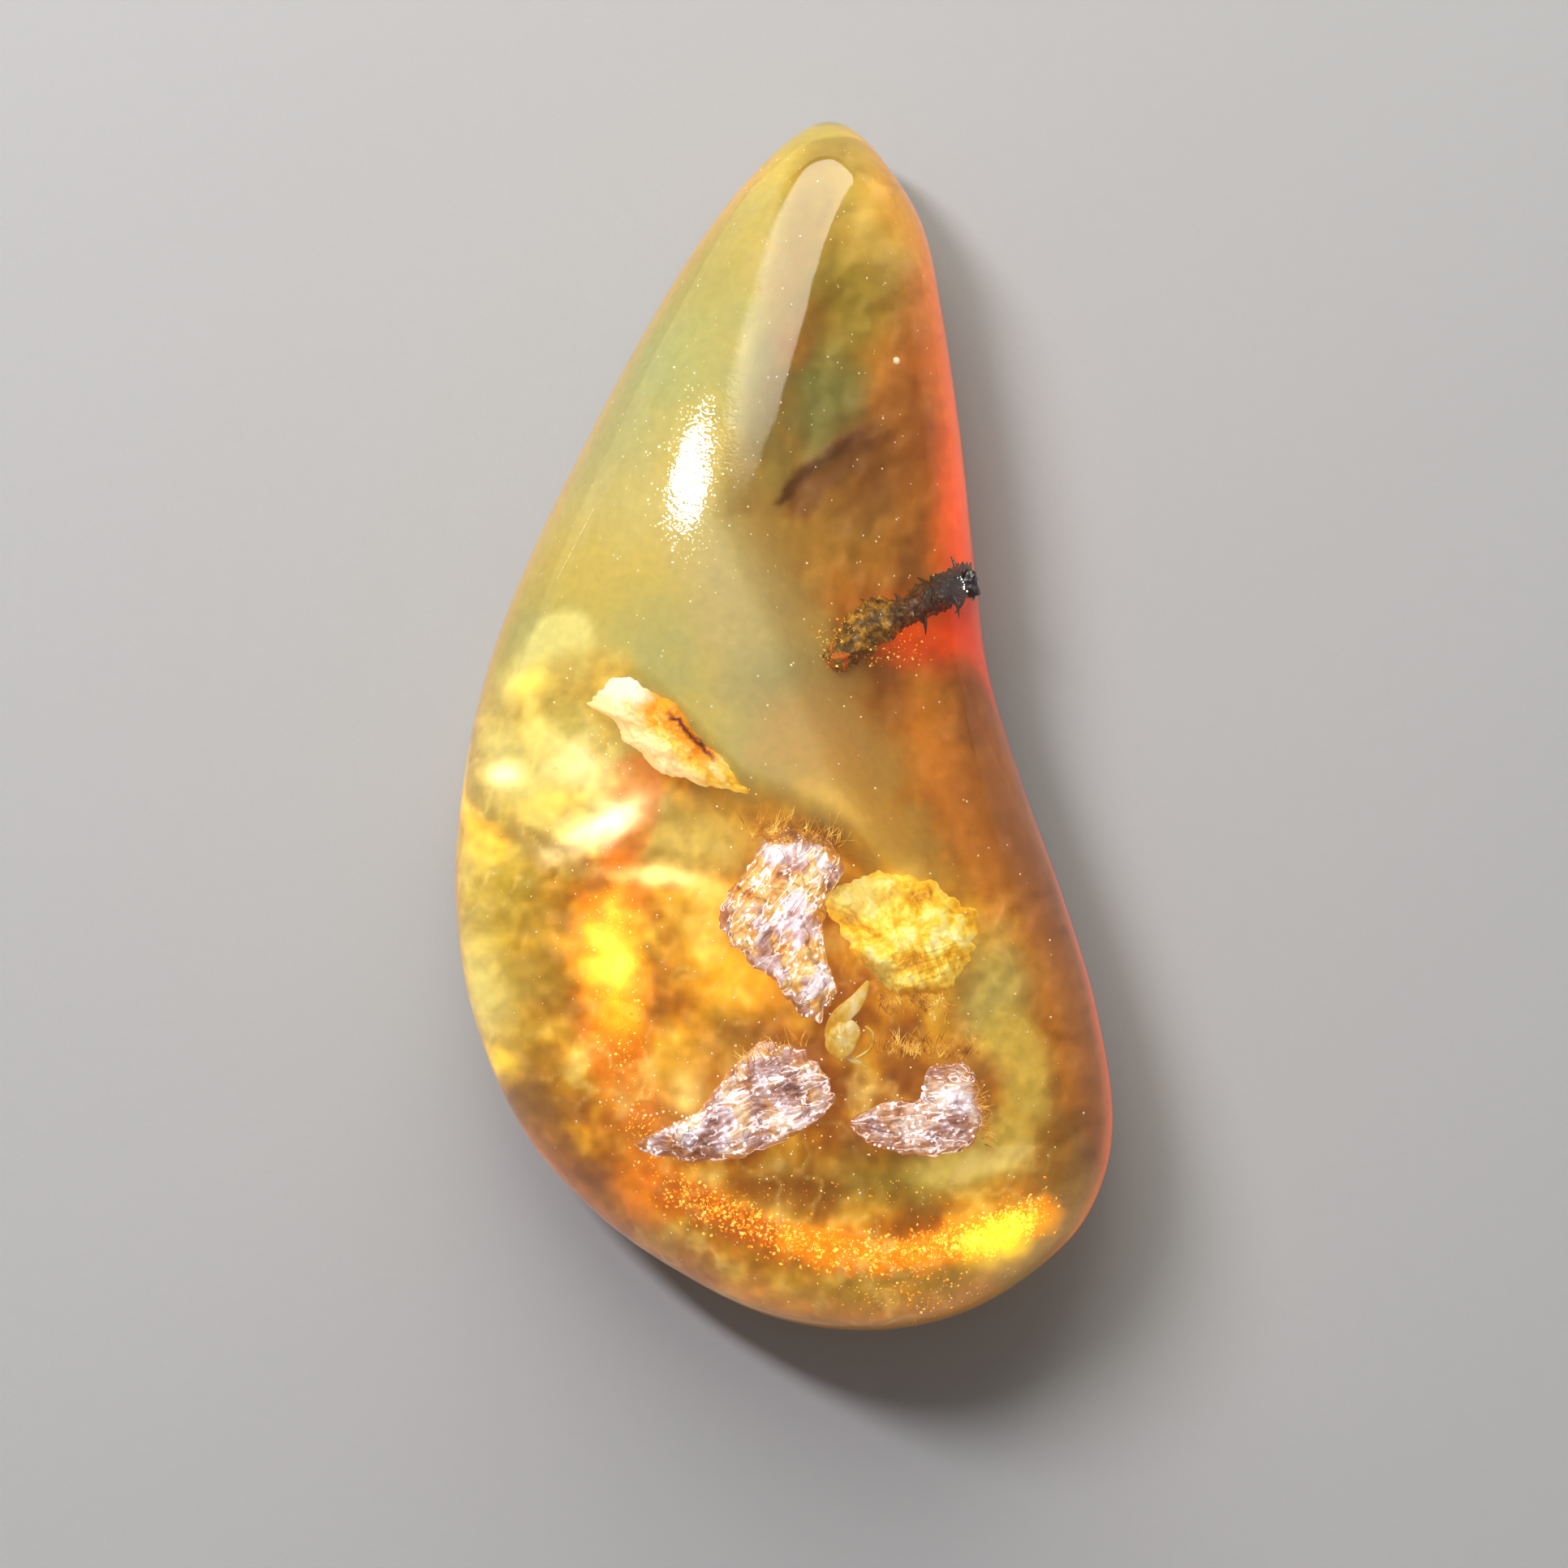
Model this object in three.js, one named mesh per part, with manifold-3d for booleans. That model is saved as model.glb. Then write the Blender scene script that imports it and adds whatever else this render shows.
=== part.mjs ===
// A polished drop of amber, lying on its flat back, with the debris that the resin caught.
// Millimetres, +Z up. X runs across the drop, +Y towards its pointed end. The origin is on the
// resting face, under the middle of the drop's length and width.
import * as THREE from "three";
import { mergeVertices } from "three/addons/utils/BufferGeometryUtils.js";
import Module from "manifold-3d";

const wasm = await Module();
wasm.setup();

// Driving sizes of the drop
const HALF_LENGTH = 22.5;
const WIDTH = 24.4;
const THICKNESS = 11.5;
const BELT_AT_TIP = 3.4; // height of the widest line round the drop, at its pointed end
const BELT_AT_LOBE = 4.6; // and at its broad end
const BOTTOM_DROP = 5.6; // how far the round belly would reach below the belt, had the back not been cut flat
const TIP_ROUNDING = 2.5;
const PARTING_HEIGHT = 8.0; // the clear resin is two pieces that meet here, so that the debris can lie inside
const FIT_GAP = 0.35; // free space round each piece of debris
const ROWS = 46;
const COLUMNS = 36;

// How full the sections are: a higher power of the way across makes a squarer shoulder
const LEFT_SHOULDER = 2.25;
const RIGHT_SHOULDER = 1.9;
const ROUNDNESS = 1.95;

// Outline of the drop from tip to broad end: y, left x, right x
const OUTLINE = [
  [22.5, 1.7, 1.7],
  [22.1, 0.6, 2.7],
  [20.9, -0.8, 3.8],
  [18.5, -2.8, 5.2],
  [15.0, -5.0, 5.95],
  [10.5, -7.4, 6.6],
  [5.8, -9.65, 7.1],
  [2.0, -11.05, 7.6],
  [-2.0, -11.9, 8.8],
  [-6.2, -12.2, 10.3],
  [-10.5, -11.6, 11.6],
  [-15.0, -9.7, 12.2],
  [-18.3, -6.75, 11.2],
  [-20.6, -3.4, 8.85],
  [-22.0, -0.4, 6.2],
  [-22.5, 2.95, 2.95],
].map(([y, left, right]) => ({ turn: Math.acos(y / HALF_LENGTH), left, right }));

// How far across the drop its crest runs, from 0 at the left edge to 1 at the right, against y
const CREST = [
  { turn: 0, across: 0.52 },
  { turn: Math.acos(12 / HALF_LENGTH), across: 0.5 },
  { turn: Math.acos(2 / HALF_LENGTH), across: 0.47 },
  { turn: Math.acos(-8 / HALF_LENGTH), across: 0.53 },
  { turn: Math.PI, across: 0.56 },
];

// Soft hollows and swells that the polishing left on the top: x, y, reach, rise
const SWELLS = [
  { x: 6.2, y: 1.5, reach: 4.2, rise: -0.75 },
  { x: -8.6, y: 1.6, reach: 2.4, rise: -0.22 },
  { x: 4.4, y: -8.5, reach: 5.0, rise: 0.18 },
  { x: -3.5, y: 9.5, reach: 4.5, rise: 0.15 },
];

// A smooth curve through stations, read at one place along it
function through(stations, key, turn) {
  const last = stations.length - 1;
  let i = 0;
  while (i < last - 1 && turn > stations[i + 1].turn) i++;
  const slope = (k) => {
    const before = stations[Math.max(k - 1, 0)];
    const after = stations[Math.min(k + 1, last)];
    return (after[key] - before[key]) / (after.turn - before.turn);
  };
  const from = stations[i];
  const to = stations[i + 1];
  const span = to.turn - from.turn;
  const u = Math.min(Math.max((turn - from.turn) / span, 0), 1);
  const ease = u * u * (3 - 2 * u);
  return (
    from[key] * (1 - ease) +
    to[key] * ease +
    span * u * (1 - u) * (slope(i) * (1 - u) - slope(i + 1) * u)
  );
}

// One crossways section of the drop, at a turn of 0 for the tip to pi for the broad end
function section(turn) {
  const left = through(OUTLINE, "left", turn);
  const width = through(OUTLINE, "right", turn) - left;
  const size = Math.sqrt(width / WIDTH) * (1 - Math.exp(-width / TIP_ROUNDING));
  return {
    left,
    width,
    crest: through(CREST, "across", turn),
    belt: BELT_AT_TIP + (BELT_AT_LOBE - BELT_AT_TIP) * (width / WIDTH),
    rise: (THICKNESS - BELT_AT_LOBE) * size,
    drop: BOTTOM_DROP * size,
  };
}

// How full the section is at a share of the way from its crest to its edge
function fullness(share, right) {
  const power = right ? RIGHT_SHOULDER : LEFT_SHOULDER;
  return Math.pow(Math.max(1 - Math.pow(share, power), 0), 1 / ROUNDNESS);
}

function swell(x, y) {
  return SWELLS.reduce(
    (sum, s) => sum + s.rise * Math.exp(-((x - s.x) ** 2 + (y - s.y) ** 2) / s.reach ** 2),
    0,
  );
}

// Height of the polished top above the resting face
function domeHeight(x, y) {
  const s = section(Math.acos(Math.min(Math.max(y / HALF_LENGTH, -1), 1)));
  const crestX = s.left + s.crest * s.width;
  const right = x > crestX;
  const reach = right ? s.width * (1 - s.crest) : s.width * s.crest;
  const full = fullness(Math.min(Math.abs(x - crestX) / reach, 1), right);
  return s.belt + s.rise * full + swell(x, y) * full;
}

// Turns a closed three.js geometry into a solid, and back
function solidOf(geometry) {
  const bare = geometry.clone();
  bare.deleteAttribute("normal");
  bare.deleteAttribute("uv");
  const merged = mergeVertices(bare, 1e-4);
  return new wasm.Manifold(
    new wasm.Mesh({
      numProp: 3,
      vertProperties: new Float32Array(merged.attributes.position.array),
      triVerts: new Uint32Array(merged.index.array),
    }),
  );
}

function geometryOf(solid) {
  const mesh = solid.getMesh();
  const geometry = new THREE.BufferGeometry();
  geometry.setAttribute("position", new THREE.BufferAttribute(mesh.vertProperties, mesh.numProp));
  geometry.setIndex(new THREE.BufferAttribute(mesh.triVerts, 1));
  return geometry;
}

// A closed skin over rings of points, with a single point at each end
function skin(start, rings, end) {
  const points = [start, ...rings.flat(), end];
  const around = rings[0].length;
  const at = (ring, i) => 1 + ring * around + (i % around);
  const faces = [];
  for (let i = 0; i < around; i++) {
    faces.push(0, at(0, i + 1), at(0, i));
    for (let ring = 0; ring < rings.length - 1; ring++) {
      faces.push(at(ring, i), at(ring + 1, i + 1), at(ring + 1, i));
      faces.push(at(ring, i), at(ring, i + 1), at(ring + 1, i + 1));
    }
    faces.push(points.length - 1, at(rings.length - 1, i), at(rings.length - 1, i + 1));
  }
  const geometry = new THREE.BufferGeometry();
  geometry.setAttribute("position", new THREE.Float32BufferAttribute(points.flat(), 3));
  geometry.setIndex(faces);
  return geometry;
}

// The whole drop, before it is parted
function dropGeometry() {
  const rings = [];
  for (let row = 1; row < ROWS; row++) {
    const turn = (Math.PI * row) / ROWS;
    const y = HALF_LENGTH * Math.cos(turn);
    const s = section(turn);
    const crestX = s.left + s.crest * s.width;
    const ring = [];
    for (let i = 0; i < COLUMNS; i++) {
      const angle = (2 * Math.PI * i) / COLUMNS;
      const right = Math.cos(angle) > 0;
      const reach = right ? s.width * (1 - s.crest) : s.width * s.crest;
      const x = crestX + reach * Math.cos(angle);
      const full = fullness(Math.abs(Math.cos(angle)), right);
      const z = Math.sin(angle) >= 0 ? domeHeight(x, y) : Math.max(s.belt - s.drop * full, 0);
      ring.push([x, y, z]);
    }
    rings.push(ring);
  }
  const tip = OUTLINE[0].left;
  const end = OUTLINE[OUTLINE.length - 1].left;
  return skin([tip, HALF_LENGTH, BELT_AT_TIP], rings, [end, -HALF_LENGTH, BELT_AT_TIP]);
}

// A rough, repeatable unevenness between -1 and 1: waves that cross, per millimetre
const WAVES = [
  { size: 0.5, x: 2.1, y: 1.3, shift: 1 },
  { size: 0.3, x: -1.7, y: 3.4, shift: 2.3 },
  { size: 0.2, x: 5.3, y: -2.2, shift: 3.1 },
];
function roughness(x, y, seed) {
  return WAVES.reduce((sum, w) => sum + w.size * Math.sin(w.x * x + w.y * y + w.shift * seed), 0);
}

// Points round a lump, and how far out its rings lie, for the lump and for its plainer pocket
const LUMP = { around: 28, shares: [0.3, 0.55, 0.78, 0.93] };
const POCKET = { around: 18, shares: [0.7, 0.94] };
const LUMP_EDGE = 0.6; // below 1 gives a blunt edge

// A flat lump with its own outline, lying a given depth under the polished top
function flake({ outline, depth, thick, bumps, seed }, grow = 0) {
  const { around, shares } = grow > 0 ? POCKET : LUMP;
  const curve = new THREE.CatmullRomCurve3(
    outline.map(([x, y]) => new THREE.Vector3(x, y, 0)),
    true,
    "centripetal",
  );
  const edge = curve.getSpacedPoints(around).slice(0, around);
  const centre = edge.reduce((sum, p) => sum.add(p), new THREE.Vector3()).divideScalar(around);
  const place = (p, share, side) => {
    const out = p.clone().sub(centre);
    out.setLength(out.length() + grow).multiplyScalar(share).add(centre);
    const body = Math.pow(1 - share ** 3, LUMP_EDGE);
    const rise = grow > 0 ? side * bumps : bumps * roughness(out.x, out.y, seed);
    const middle = domeHeight(out.x, out.y) - depth - thick / 2;
    return [out.x, out.y, middle + (side * (thick / 2 + grow) + rise) * body];
  };
  const hub = (side) => place(edge[0], 0, side);
  const ringAt = (share, side) => edge.map((p) => place(p, share, side));
  const rings = [
    ...shares.map((share) => ringAt(share, 1)),
    ringAt(1, 0),
    ...shares.toReversed().map((share) => ringAt(share, -1)),
  ];
  return skin(hub(1), rings, hub(-1));
}

const PALE_CHIP = {
  outline: [
    [-6.9, 1.5], [-6.2, 2.0], [-5.4, 1.6], [-4.4, 1.2], [-3.4, 0.0],
    [-2.3, -1.4], [-1.2, -2.5], [-2.6, -2.4], [-4.2, -2.0], [-5.4, -1.0], [-6.0, 0.4],
  ],
  depth: 0.75,
  thick: 1.5,
  bumps: 0.16,
  seed: 1.2,
};

const YELLOW_CHIP = {
  outline: [
    [2.5, -6.2], [3.6, -5.5], [5.2, -6.0], [6.6, -7.0], [6.6, -8.4],
    [5.6, -9.8], [4.2, -10.0], [3.2, -8.8], [2.4, -7.6],
  ],
  depth: 0.8,
  thick: 2.6,
  bumps: 0.14,
  seed: 4.1,
};

const BARK_KNOT = {
  outline: [
    [-0.4, -4.0], [1.2, -4.1], [2.2, -5.2], [1.5, -6.6], [1.5, -8.4],
    [1.9, -9.9], [1.0, -10.9], [-0.1, -9.6], [-1.4, -8.4], [-2.4, -7.0], [-1.4, -5.4],
  ],
  depth: -0.12,
  thick: 1.5,
  bumps: 0.22,
  seed: 2.6,
};

const LEFT_BARK_FLAKE = {
  outline: [
    [-5.3, -15.4], [-4.2, -14.6], [-3.0, -14.0], [-2.2, -12.9], [-0.9, -11.6],
    [0.4, -11.7], [1.4, -12.6], [1.9, -13.5], [1.3, -14.3], [-0.4, -15.3], [-2.6, -15.9],
  ],
  depth: -0.12,
  thick: 1.3,
  bumps: 0.2,
  seed: 5.7,
};

const RIGHT_BARK_FLAKE = {
  outline: [
    [2.6, -14.2], [3.8, -13.7], [4.9, -13.6], [5.2, -12.6], [6.6, -12.4],
    [7.1, -13.8], [6.9, -15.2], [5.4, -15.7], [3.8, -15.5], [2.7, -15.0],
  ],
  depth: -0.12,
  thick: 1.3,
  bumps: 0.2,
  seed: 7.9,
};

// The dark twig: its middle line from the broken end at the drop's side, with its radius there
const TWIG_LINE = [
  { x: 6.9, y: 5.2, under: 0.1, radius: 0.5 },
  { x: 6.1, y: 5.3, under: 0.85, radius: 0.72 },
  { x: 5.1, y: 4.7, under: 0.95, radius: 0.62 },
  { x: 4.2, y: 4.2, under: 0.95, radius: 0.55 },
  { x: 3.1, y: 3.8, under: 1.2, radius: 0.85 },
  { x: 2.2, y: 3.0, under: 1.35, radius: 0.72 },
  { x: 1.6, y: 2.1, under: 1.3, radius: 0.4 },
];
const TWIG_AROUND = 10;
const TWIG_STEPS = 20;
const TWIG_CAP = 0.4; // how far its ends bulge, against its radius
const KNOBBLES = { size: 0.12, along: 9, around: 3 };
const NEARBY = 0.02; // share of its length over which its direction is taken
// Spines on the twig: share of its length, direction round it in degrees, length
const SPINES = [
  { at: 0.12, round: -75, long: 0.75 },
  { at: 0.2, round: 80, long: 0.5 },
  { at: 0.27, round: -60, long: 0.6 },
  { at: 0.36, round: 95, long: 0.55 },
  { at: 0.42, round: -95, long: 0.7 },
  { at: 0.5, round: 70, long: 0.45 },
  { at: 0.58, round: -80, long: 0.5 },
  { at: 0.66, round: 100, long: 0.6 },
  { at: 0.76, round: -70, long: 0.45 },
  { at: 0.85, round: 85, long: 0.5 },
];
const SPINE_RADIUS = 0.16;
const SPINE_SIDES = 6;

function twigStation(share) {
  const place = share * (TWIG_LINE.length - 1);
  const stations = TWIG_LINE.map((s, i) => ({ ...s, turn: i }));
  const x = through(stations, "x", place);
  const y = through(stations, "y", place);
  const z = domeHeight(x, y) - through(stations, "under", place) - through(stations, "radius", place);
  return { middle: new THREE.Vector3(x, y, z), radius: through(stations, "radius", place) };
}

function twigDirections(share) {
  const ahead = twigStation(Math.min(share + NEARBY, 1)).middle;
  const behind = twigStation(Math.max(share - NEARBY, 0)).middle;
  const along = ahead.sub(behind).normalize();
  const side = new THREE.Vector3(0, 0, 1).cross(along).normalize();
  return { along, side, up: along.clone().cross(side) };
}

function twigStem(grow = 0) {
  const rings = [];
  for (let step = 0; step <= TWIG_STEPS; step++) {
    const share = step / TWIG_STEPS;
    const { middle, radius } = twigStation(share);
    const { side, up } = twigDirections(share);
    const ring = [];
    for (let i = 0; i < TWIG_AROUND; i++) {
      const angle = (2 * Math.PI * i) / TWIG_AROUND;
      const wave = Math.sin(2 * Math.PI * KNOBBLES.along * share + KNOBBLES.around * angle);
      const knobble = KNOBBLES.size * (grow > 0 ? 1 : wave);
      const reach = radius * (1 + knobble) + grow;
      const p = middle.clone();
      p.addScaledVector(side, reach * Math.cos(angle)).addScaledVector(up, reach * Math.sin(angle));
      ring.push(p.toArray());
    }
    rings.push(ring);
  }
  const cap = (share, way) => {
    const { middle, radius } = twigStation(share);
    return middle.addScaledVector(twigDirections(share).along, way * (TWIG_CAP * radius + grow)).toArray();
  };
  return skin(cap(0, -1), rings, cap(1, 1));
}

function spine({ at, round, long }, grow = 0) {
  const { middle, radius } = twigStation(at);
  const { side, up } = twigDirections(at);
  const angle = THREE.MathUtils.degToRad(90 + round);
  const out = side.clone().multiplyScalar(Math.cos(angle)).addScaledVector(up, Math.sin(angle));
  const height = radius + long + grow;
  const cone = new THREE.ConeGeometry(SPINE_RADIUS + grow, height, SPINE_SIDES);
  cone.translate(0, height / 2, 0);
  cone.applyQuaternion(new THREE.Quaternion().setFromUnitVectors(new THREE.Vector3(0, 1, 0), out));
  cone.translate(...middle.toArray());
  return cone;
}

function twigSolid(grow = 0) {
  return SPINES.reduce((whole, s) => whole.add(solidOf(spine(s, grow))), solidOf(twigStem(grow)));
}

// The small curled scale that lies between the bark pieces: a thin strip rolled most of the way round
const CURL = {
  x: 2.9,
  y: -11.4,
  under: 1.6,
  radius: 0.7,
  wall: 0.25,
  long: 1.3,
  open: 1.4, // radians left open
  lean: 0.9,
  turn: -0.5,
  steps: 12,
  pocketDetail: 2,
};

function curlGeometry() {
  const shape = new THREE.Shape();
  shape.absarc(0, 0, CURL.radius, CURL.open / 2, 2 * Math.PI - CURL.open / 2, false);
  shape.absarc(0, 0, CURL.radius - CURL.wall, 2 * Math.PI - CURL.open / 2, CURL.open / 2, true);
  const settings = { depth: CURL.long, bevelEnabled: false, curveSegments: CURL.steps };
  const strip = new THREE.ExtrudeGeometry(shape, settings);
  strip.translate(0, 0, -CURL.long / 2);
  strip.rotateX(CURL.lean);
  strip.rotateZ(CURL.turn);
  return placeCurl(strip);
}

function curlPocket() {
  const reach = Math.hypot(CURL.radius, CURL.long / 2) + FIT_GAP;
  return placeCurl(new THREE.IcosahedronGeometry(reach, CURL.pocketDetail));
}

function placeCurl(geometry) {
  const z = domeHeight(CURL.x, CURL.y) - CURL.under - CURL.radius;
  return geometry.translate(CURL.x, CURL.y, z);
}

// The resin: the drop less a pocket for each piece of debris, parted at one height
const flakes = { PALE_CHIP, YELLOW_CHIP, BARK_KNOT, LEFT_BARK_FLAKE, RIGHT_BARK_FLAKE };
const pockets = [
  ...Object.values(flakes).map((piece) => solidOf(flake(piece, FIT_GAP))),
  twigSolid(FIT_GAP),
  solidOf(curlPocket()),
];
const resin = pockets.reduce((rest, pocket) => rest.subtract(pocket), solidOf(dropGeometry()));

function slab(low, high) {
  const box = new THREE.BoxGeometry(2 * WIDTH, 4 * HALF_LENGTH, high - low);
  return solidOf(box.translate(0, 0, (low + high) / 2));
}
const amberBase = resin.intersect(slab(-THICKNESS, PARTING_HEIGHT));
const amberTop = resin.intersect(slab(PARTING_HEIGHT, 2 * THICKNESS));

const resinLook = { color: 0xd98e1c, roughness: 0.05, metalness: 0, transparent: true, opacity: 0.55 };
const looks = {
  resin: new THREE.MeshStandardMaterial(resinLook),
  paleChip: new THREE.MeshStandardMaterial({ color: 0xe9c860, roughness: 0.6, metalness: 0 }),
  yellowChip: new THREE.MeshStandardMaterial({ color: 0xd9a92e, roughness: 0.55, metalness: 0 }),
  bark: new THREE.MeshStandardMaterial({ color: 0x8a6258, roughness: 0.45, metalness: 0 }),
  twig: new THREE.MeshStandardMaterial({ color: 0x2c2018, roughness: 0.35, metalness: 0 }),
  curl: new THREE.MeshStandardMaterial({ color: 0xe6bf4a, roughness: 0.4, metalness: 0 }),
};

const drop = new THREE.Group();
function add(name, geometry, material) {
  const mesh = new THREE.Mesh(geometry, material);
  mesh.name = name;
  drop.add(mesh);
}

add("amber_base", geometryOf(amberBase), looks.resin);
add("amber_top", geometryOf(amberTop), looks.resin);
add("dark_twig", geometryOf(twigSolid()), looks.twig);
add("pale_chip", flake(PALE_CHIP), looks.paleChip);
add("yellow_chip", flake(YELLOW_CHIP), looks.yellowChip);
add("bark_knot", flake(BARK_KNOT), looks.bark);
add("left_bark_flake", flake(LEFT_BARK_FLAKE), looks.bark);
add("right_bark_flake", flake(RIGHT_BARK_FLAKE), looks.bark);
add("curled_scale", curlGeometry(), looks.curl);

export default drop;
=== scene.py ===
# A polished amber drop, with the bark and twig pieces that the resin caught.
# Sizes are in millimetres in the dictionaries and are turned into metres when a mesh is made.
import math

import bmesh
import bpy
import numpy as np
from mathutils import Matrix, Vector, noise


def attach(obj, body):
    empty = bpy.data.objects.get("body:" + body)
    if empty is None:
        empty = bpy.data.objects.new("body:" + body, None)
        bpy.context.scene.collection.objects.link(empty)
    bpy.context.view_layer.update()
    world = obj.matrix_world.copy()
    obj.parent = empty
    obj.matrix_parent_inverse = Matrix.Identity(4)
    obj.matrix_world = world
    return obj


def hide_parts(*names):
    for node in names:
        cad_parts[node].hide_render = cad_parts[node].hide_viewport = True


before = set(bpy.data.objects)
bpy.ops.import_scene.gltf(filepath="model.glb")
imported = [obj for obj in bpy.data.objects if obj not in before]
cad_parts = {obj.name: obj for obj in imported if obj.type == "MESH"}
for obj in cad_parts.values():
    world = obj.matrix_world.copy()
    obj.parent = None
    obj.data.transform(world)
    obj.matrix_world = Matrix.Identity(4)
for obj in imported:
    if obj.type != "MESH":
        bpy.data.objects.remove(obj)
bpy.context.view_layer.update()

mm = 0.001
print("frame loaded:", ", ".join(sorted(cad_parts)))


# Camera: straight above, where the photograph was taken from
shot = {
    "centre": (0.0, -2.17),  # what the middle of the picture looks at
    "width": 58.2,  # what the picture's width takes in, at the drop's belt
    "belt": 4.6,
    "lens": 200.0,
    "sensor": 36.0,
}

cameraData = bpy.data.cameras.new("camera")
cameraData.lens = shot["lens"]
cameraData.sensor_width = shot["sensor"]
cameraHeight = shot["width"] * shot["lens"] / shot["sensor"] + shot["belt"]
camera = bpy.data.objects.new("camera", cameraData)
camera.location = Vector((*shot["centre"], cameraHeight)) * mm
cameraData.clip_start = 0.01
cameraData.clip_end = 10.0
bpy.context.scene.collection.objects.link(camera)
bpy.context.scene.camera = camera
bpy.context.scene.view_settings.view_transform = "Standard"
print("camera at", tuple(round(v, 4) for v in camera.location))


# The form of the drop, by the same stations and formulas as its solid
drop = {
    "halfLength": 22.5,
    "width": 24.4,
    "thickness": 11.5,
    "beltAtTip": 3.4,  # height of the widest line, at the pointed end
    "beltAtLobe": 4.6,  # and at the broad end
    "bottomDrop": 5.6,  # how far the belly would reach below the belt, had the back not been cut flat
    "tipRounding": 2.5,
    "rows": 260,
    "columns": 240,
    # y, left x, right x from the tip to the broad end
    "outline": [
        (22.5, 1.7, 1.7),
        (22.1, 0.6, 2.7),
        (20.9, -0.8, 3.8),
        (18.5, -2.8, 5.2),
        (15.0, -5.0, 5.95),
        (10.5, -7.4, 6.6),
        (5.8, -9.65, 7.1),
        (2.0, -11.05, 7.6),
        (-2.0, -11.9, 8.8),
        (-6.2, -12.2, 10.3),
        (-10.5, -11.6, 11.6),
        (-15.0, -9.7, 12.2),
        (-18.3, -6.75, 11.2),
        (-20.6, -3.4, 8.85),
        (-22.0, -0.4, 6.2),
        (-22.5, 2.95, 2.95),
    ],
    # y, how far across the drop its crest runs
    "crest": [(22.5, 0.52), (12.0, 0.5), (2.0, 0.47), (-8.0, 0.53), (-22.5, 0.56)],
    "fullLeft": 2.25,
    "fullRight": 1.9,
    "fullRoot": 1.95,
    # x, y, reach, rise of the soft hollows and swells on the top
    "swells": [
        (6.2, 1.5, 4.2, -0.75),
        (-8.6, 1.6, 2.4, -0.22),
        (4.4, -8.5, 5.0, 0.18),
        (-3.5, 9.5, 4.5, 0.15),
    ],
}


def turnAt(y):
    return np.arccos(np.clip(np.asarray(y, float) / drop["halfLength"], -1, 1))


def through(turns, values, turn):
    # a smooth curve through stations, read at many places along it
    turns, values, turn = np.asarray(turns), np.asarray(values), np.asarray(turn, float)
    last = len(turns) - 1
    i = np.clip(np.searchsorted(turns, turn, side="left") - 1, 0, last - 1)
    before = np.maximum(np.arange(last + 1) - 1, 0)
    after = np.minimum(np.arange(last + 1) + 1, last)
    slopes = (values[after] - values[before]) / (turns[after] - turns[before])
    span = turns[i + 1] - turns[i]
    u = np.clip((turn - turns[i]) / span, 0, 1)
    ease = u * u * (3 - 2 * u)
    bend = span * u * (1 - u) * (slopes[i] * (1 - u) - slopes[i + 1] * u)
    return values[i] * (1 - ease) + values[i + 1] * ease + bend


outlineTurns = turnAt([row[0] for row in drop["outline"]])
outlineLeft = [row[1] for row in drop["outline"]]
outlineRight = [row[2] for row in drop["outline"]]
crestTurns = turnAt([row[0] for row in drop["crest"]])
crestAcross = [row[1] for row in drop["crest"]]


def section(turn):
    left = through(outlineTurns, outlineLeft, turn)
    width = through(outlineTurns, outlineRight, turn) - left
    size = np.sqrt(width / drop["width"]) * (1 - np.exp(-width / drop["tipRounding"]))
    across = through(crestTurns, crestAcross, turn)
    return {
        "left": left,
        "width": width,
        "crestX": left + across * width,
        "reachLeft": across * width,
        "reachRight": (1 - across) * width,
        "belt": drop["beltAtTip"] + (drop["beltAtLobe"] - drop["beltAtTip"]) * width / drop["width"],
        "rise": (drop["thickness"] - drop["beltAtLobe"]) * size,
        "drop": drop["bottomDrop"] * size,
    }


def fullness(share, right):
    power = np.where(right, drop["fullRight"], drop["fullLeft"])
    return np.maximum(1 - share**power, 0) ** (1 / drop["fullRoot"])


def domeHeight(x, y):
    x, y = np.asarray(x, float), np.asarray(y, float)
    s = section(turnAt(y))
    right = x > s["crestX"]
    reach = np.maximum(np.where(right, s["reachRight"], s["reachLeft"]), 1e-6)
    full = fullness(np.clip(np.abs(x - s["crestX"]) / reach, 0, 1), right)
    swell = sum(
        rise * np.exp(-((x - sx) ** 2 + (y - sy) ** 2) / reachAt**2)
        for sx, sy, reachAt, rise in drop["swells"]
    )
    return s["belt"] + s["rise"] * full + swell * full


def domeNormal(x, y, step=0.05):
    dx = (domeHeight(x + step, y) - domeHeight(x - step, y)) / (2 * step)
    dy = (domeHeight(x, y + step) - domeHeight(x, y - step)) / (2 * step)
    return Vector((-float(dx), -float(dy), 1)).normalized()


# Meshes
def addMesh(name, points, faces, material, replaced=(), smooth=True, values=None):
    # values are named numbers or colours, one for each point, that the material reads
    mesh = bpy.data.meshes.new(name)
    mesh.from_pydata((np.asarray(points, float) * mm).tolist(), [], faces)
    mesh.update()
    for title, numbers in (values or {}).items():
        numbers = np.asarray(numbers, float)
        if numbers.ndim == 2:
            layer = mesh.attributes.new(title, "FLOAT_COLOR", "POINT")
            layer.data.foreach_set("color", np.column_stack([numbers, np.ones(len(numbers))]).ravel())
        else:
            layer = mesh.attributes.new(title, "FLOAT", "POINT")
            layer.data.foreach_set("value", numbers)
    if smooth:
        mesh.shade_smooth()
    else:
        mesh.shade_flat()
    piece = bpy.data.objects.new(name, mesh)
    bpy.context.scene.collection.objects.link(piece)
    mesh.materials.append(material)
    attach(piece, "root")
    if replaced:
        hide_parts(*replaced)
    print(f"{name}: {len(mesh.vertices)} points, {len(mesh.polygons)} faces")
    return piece


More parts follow.
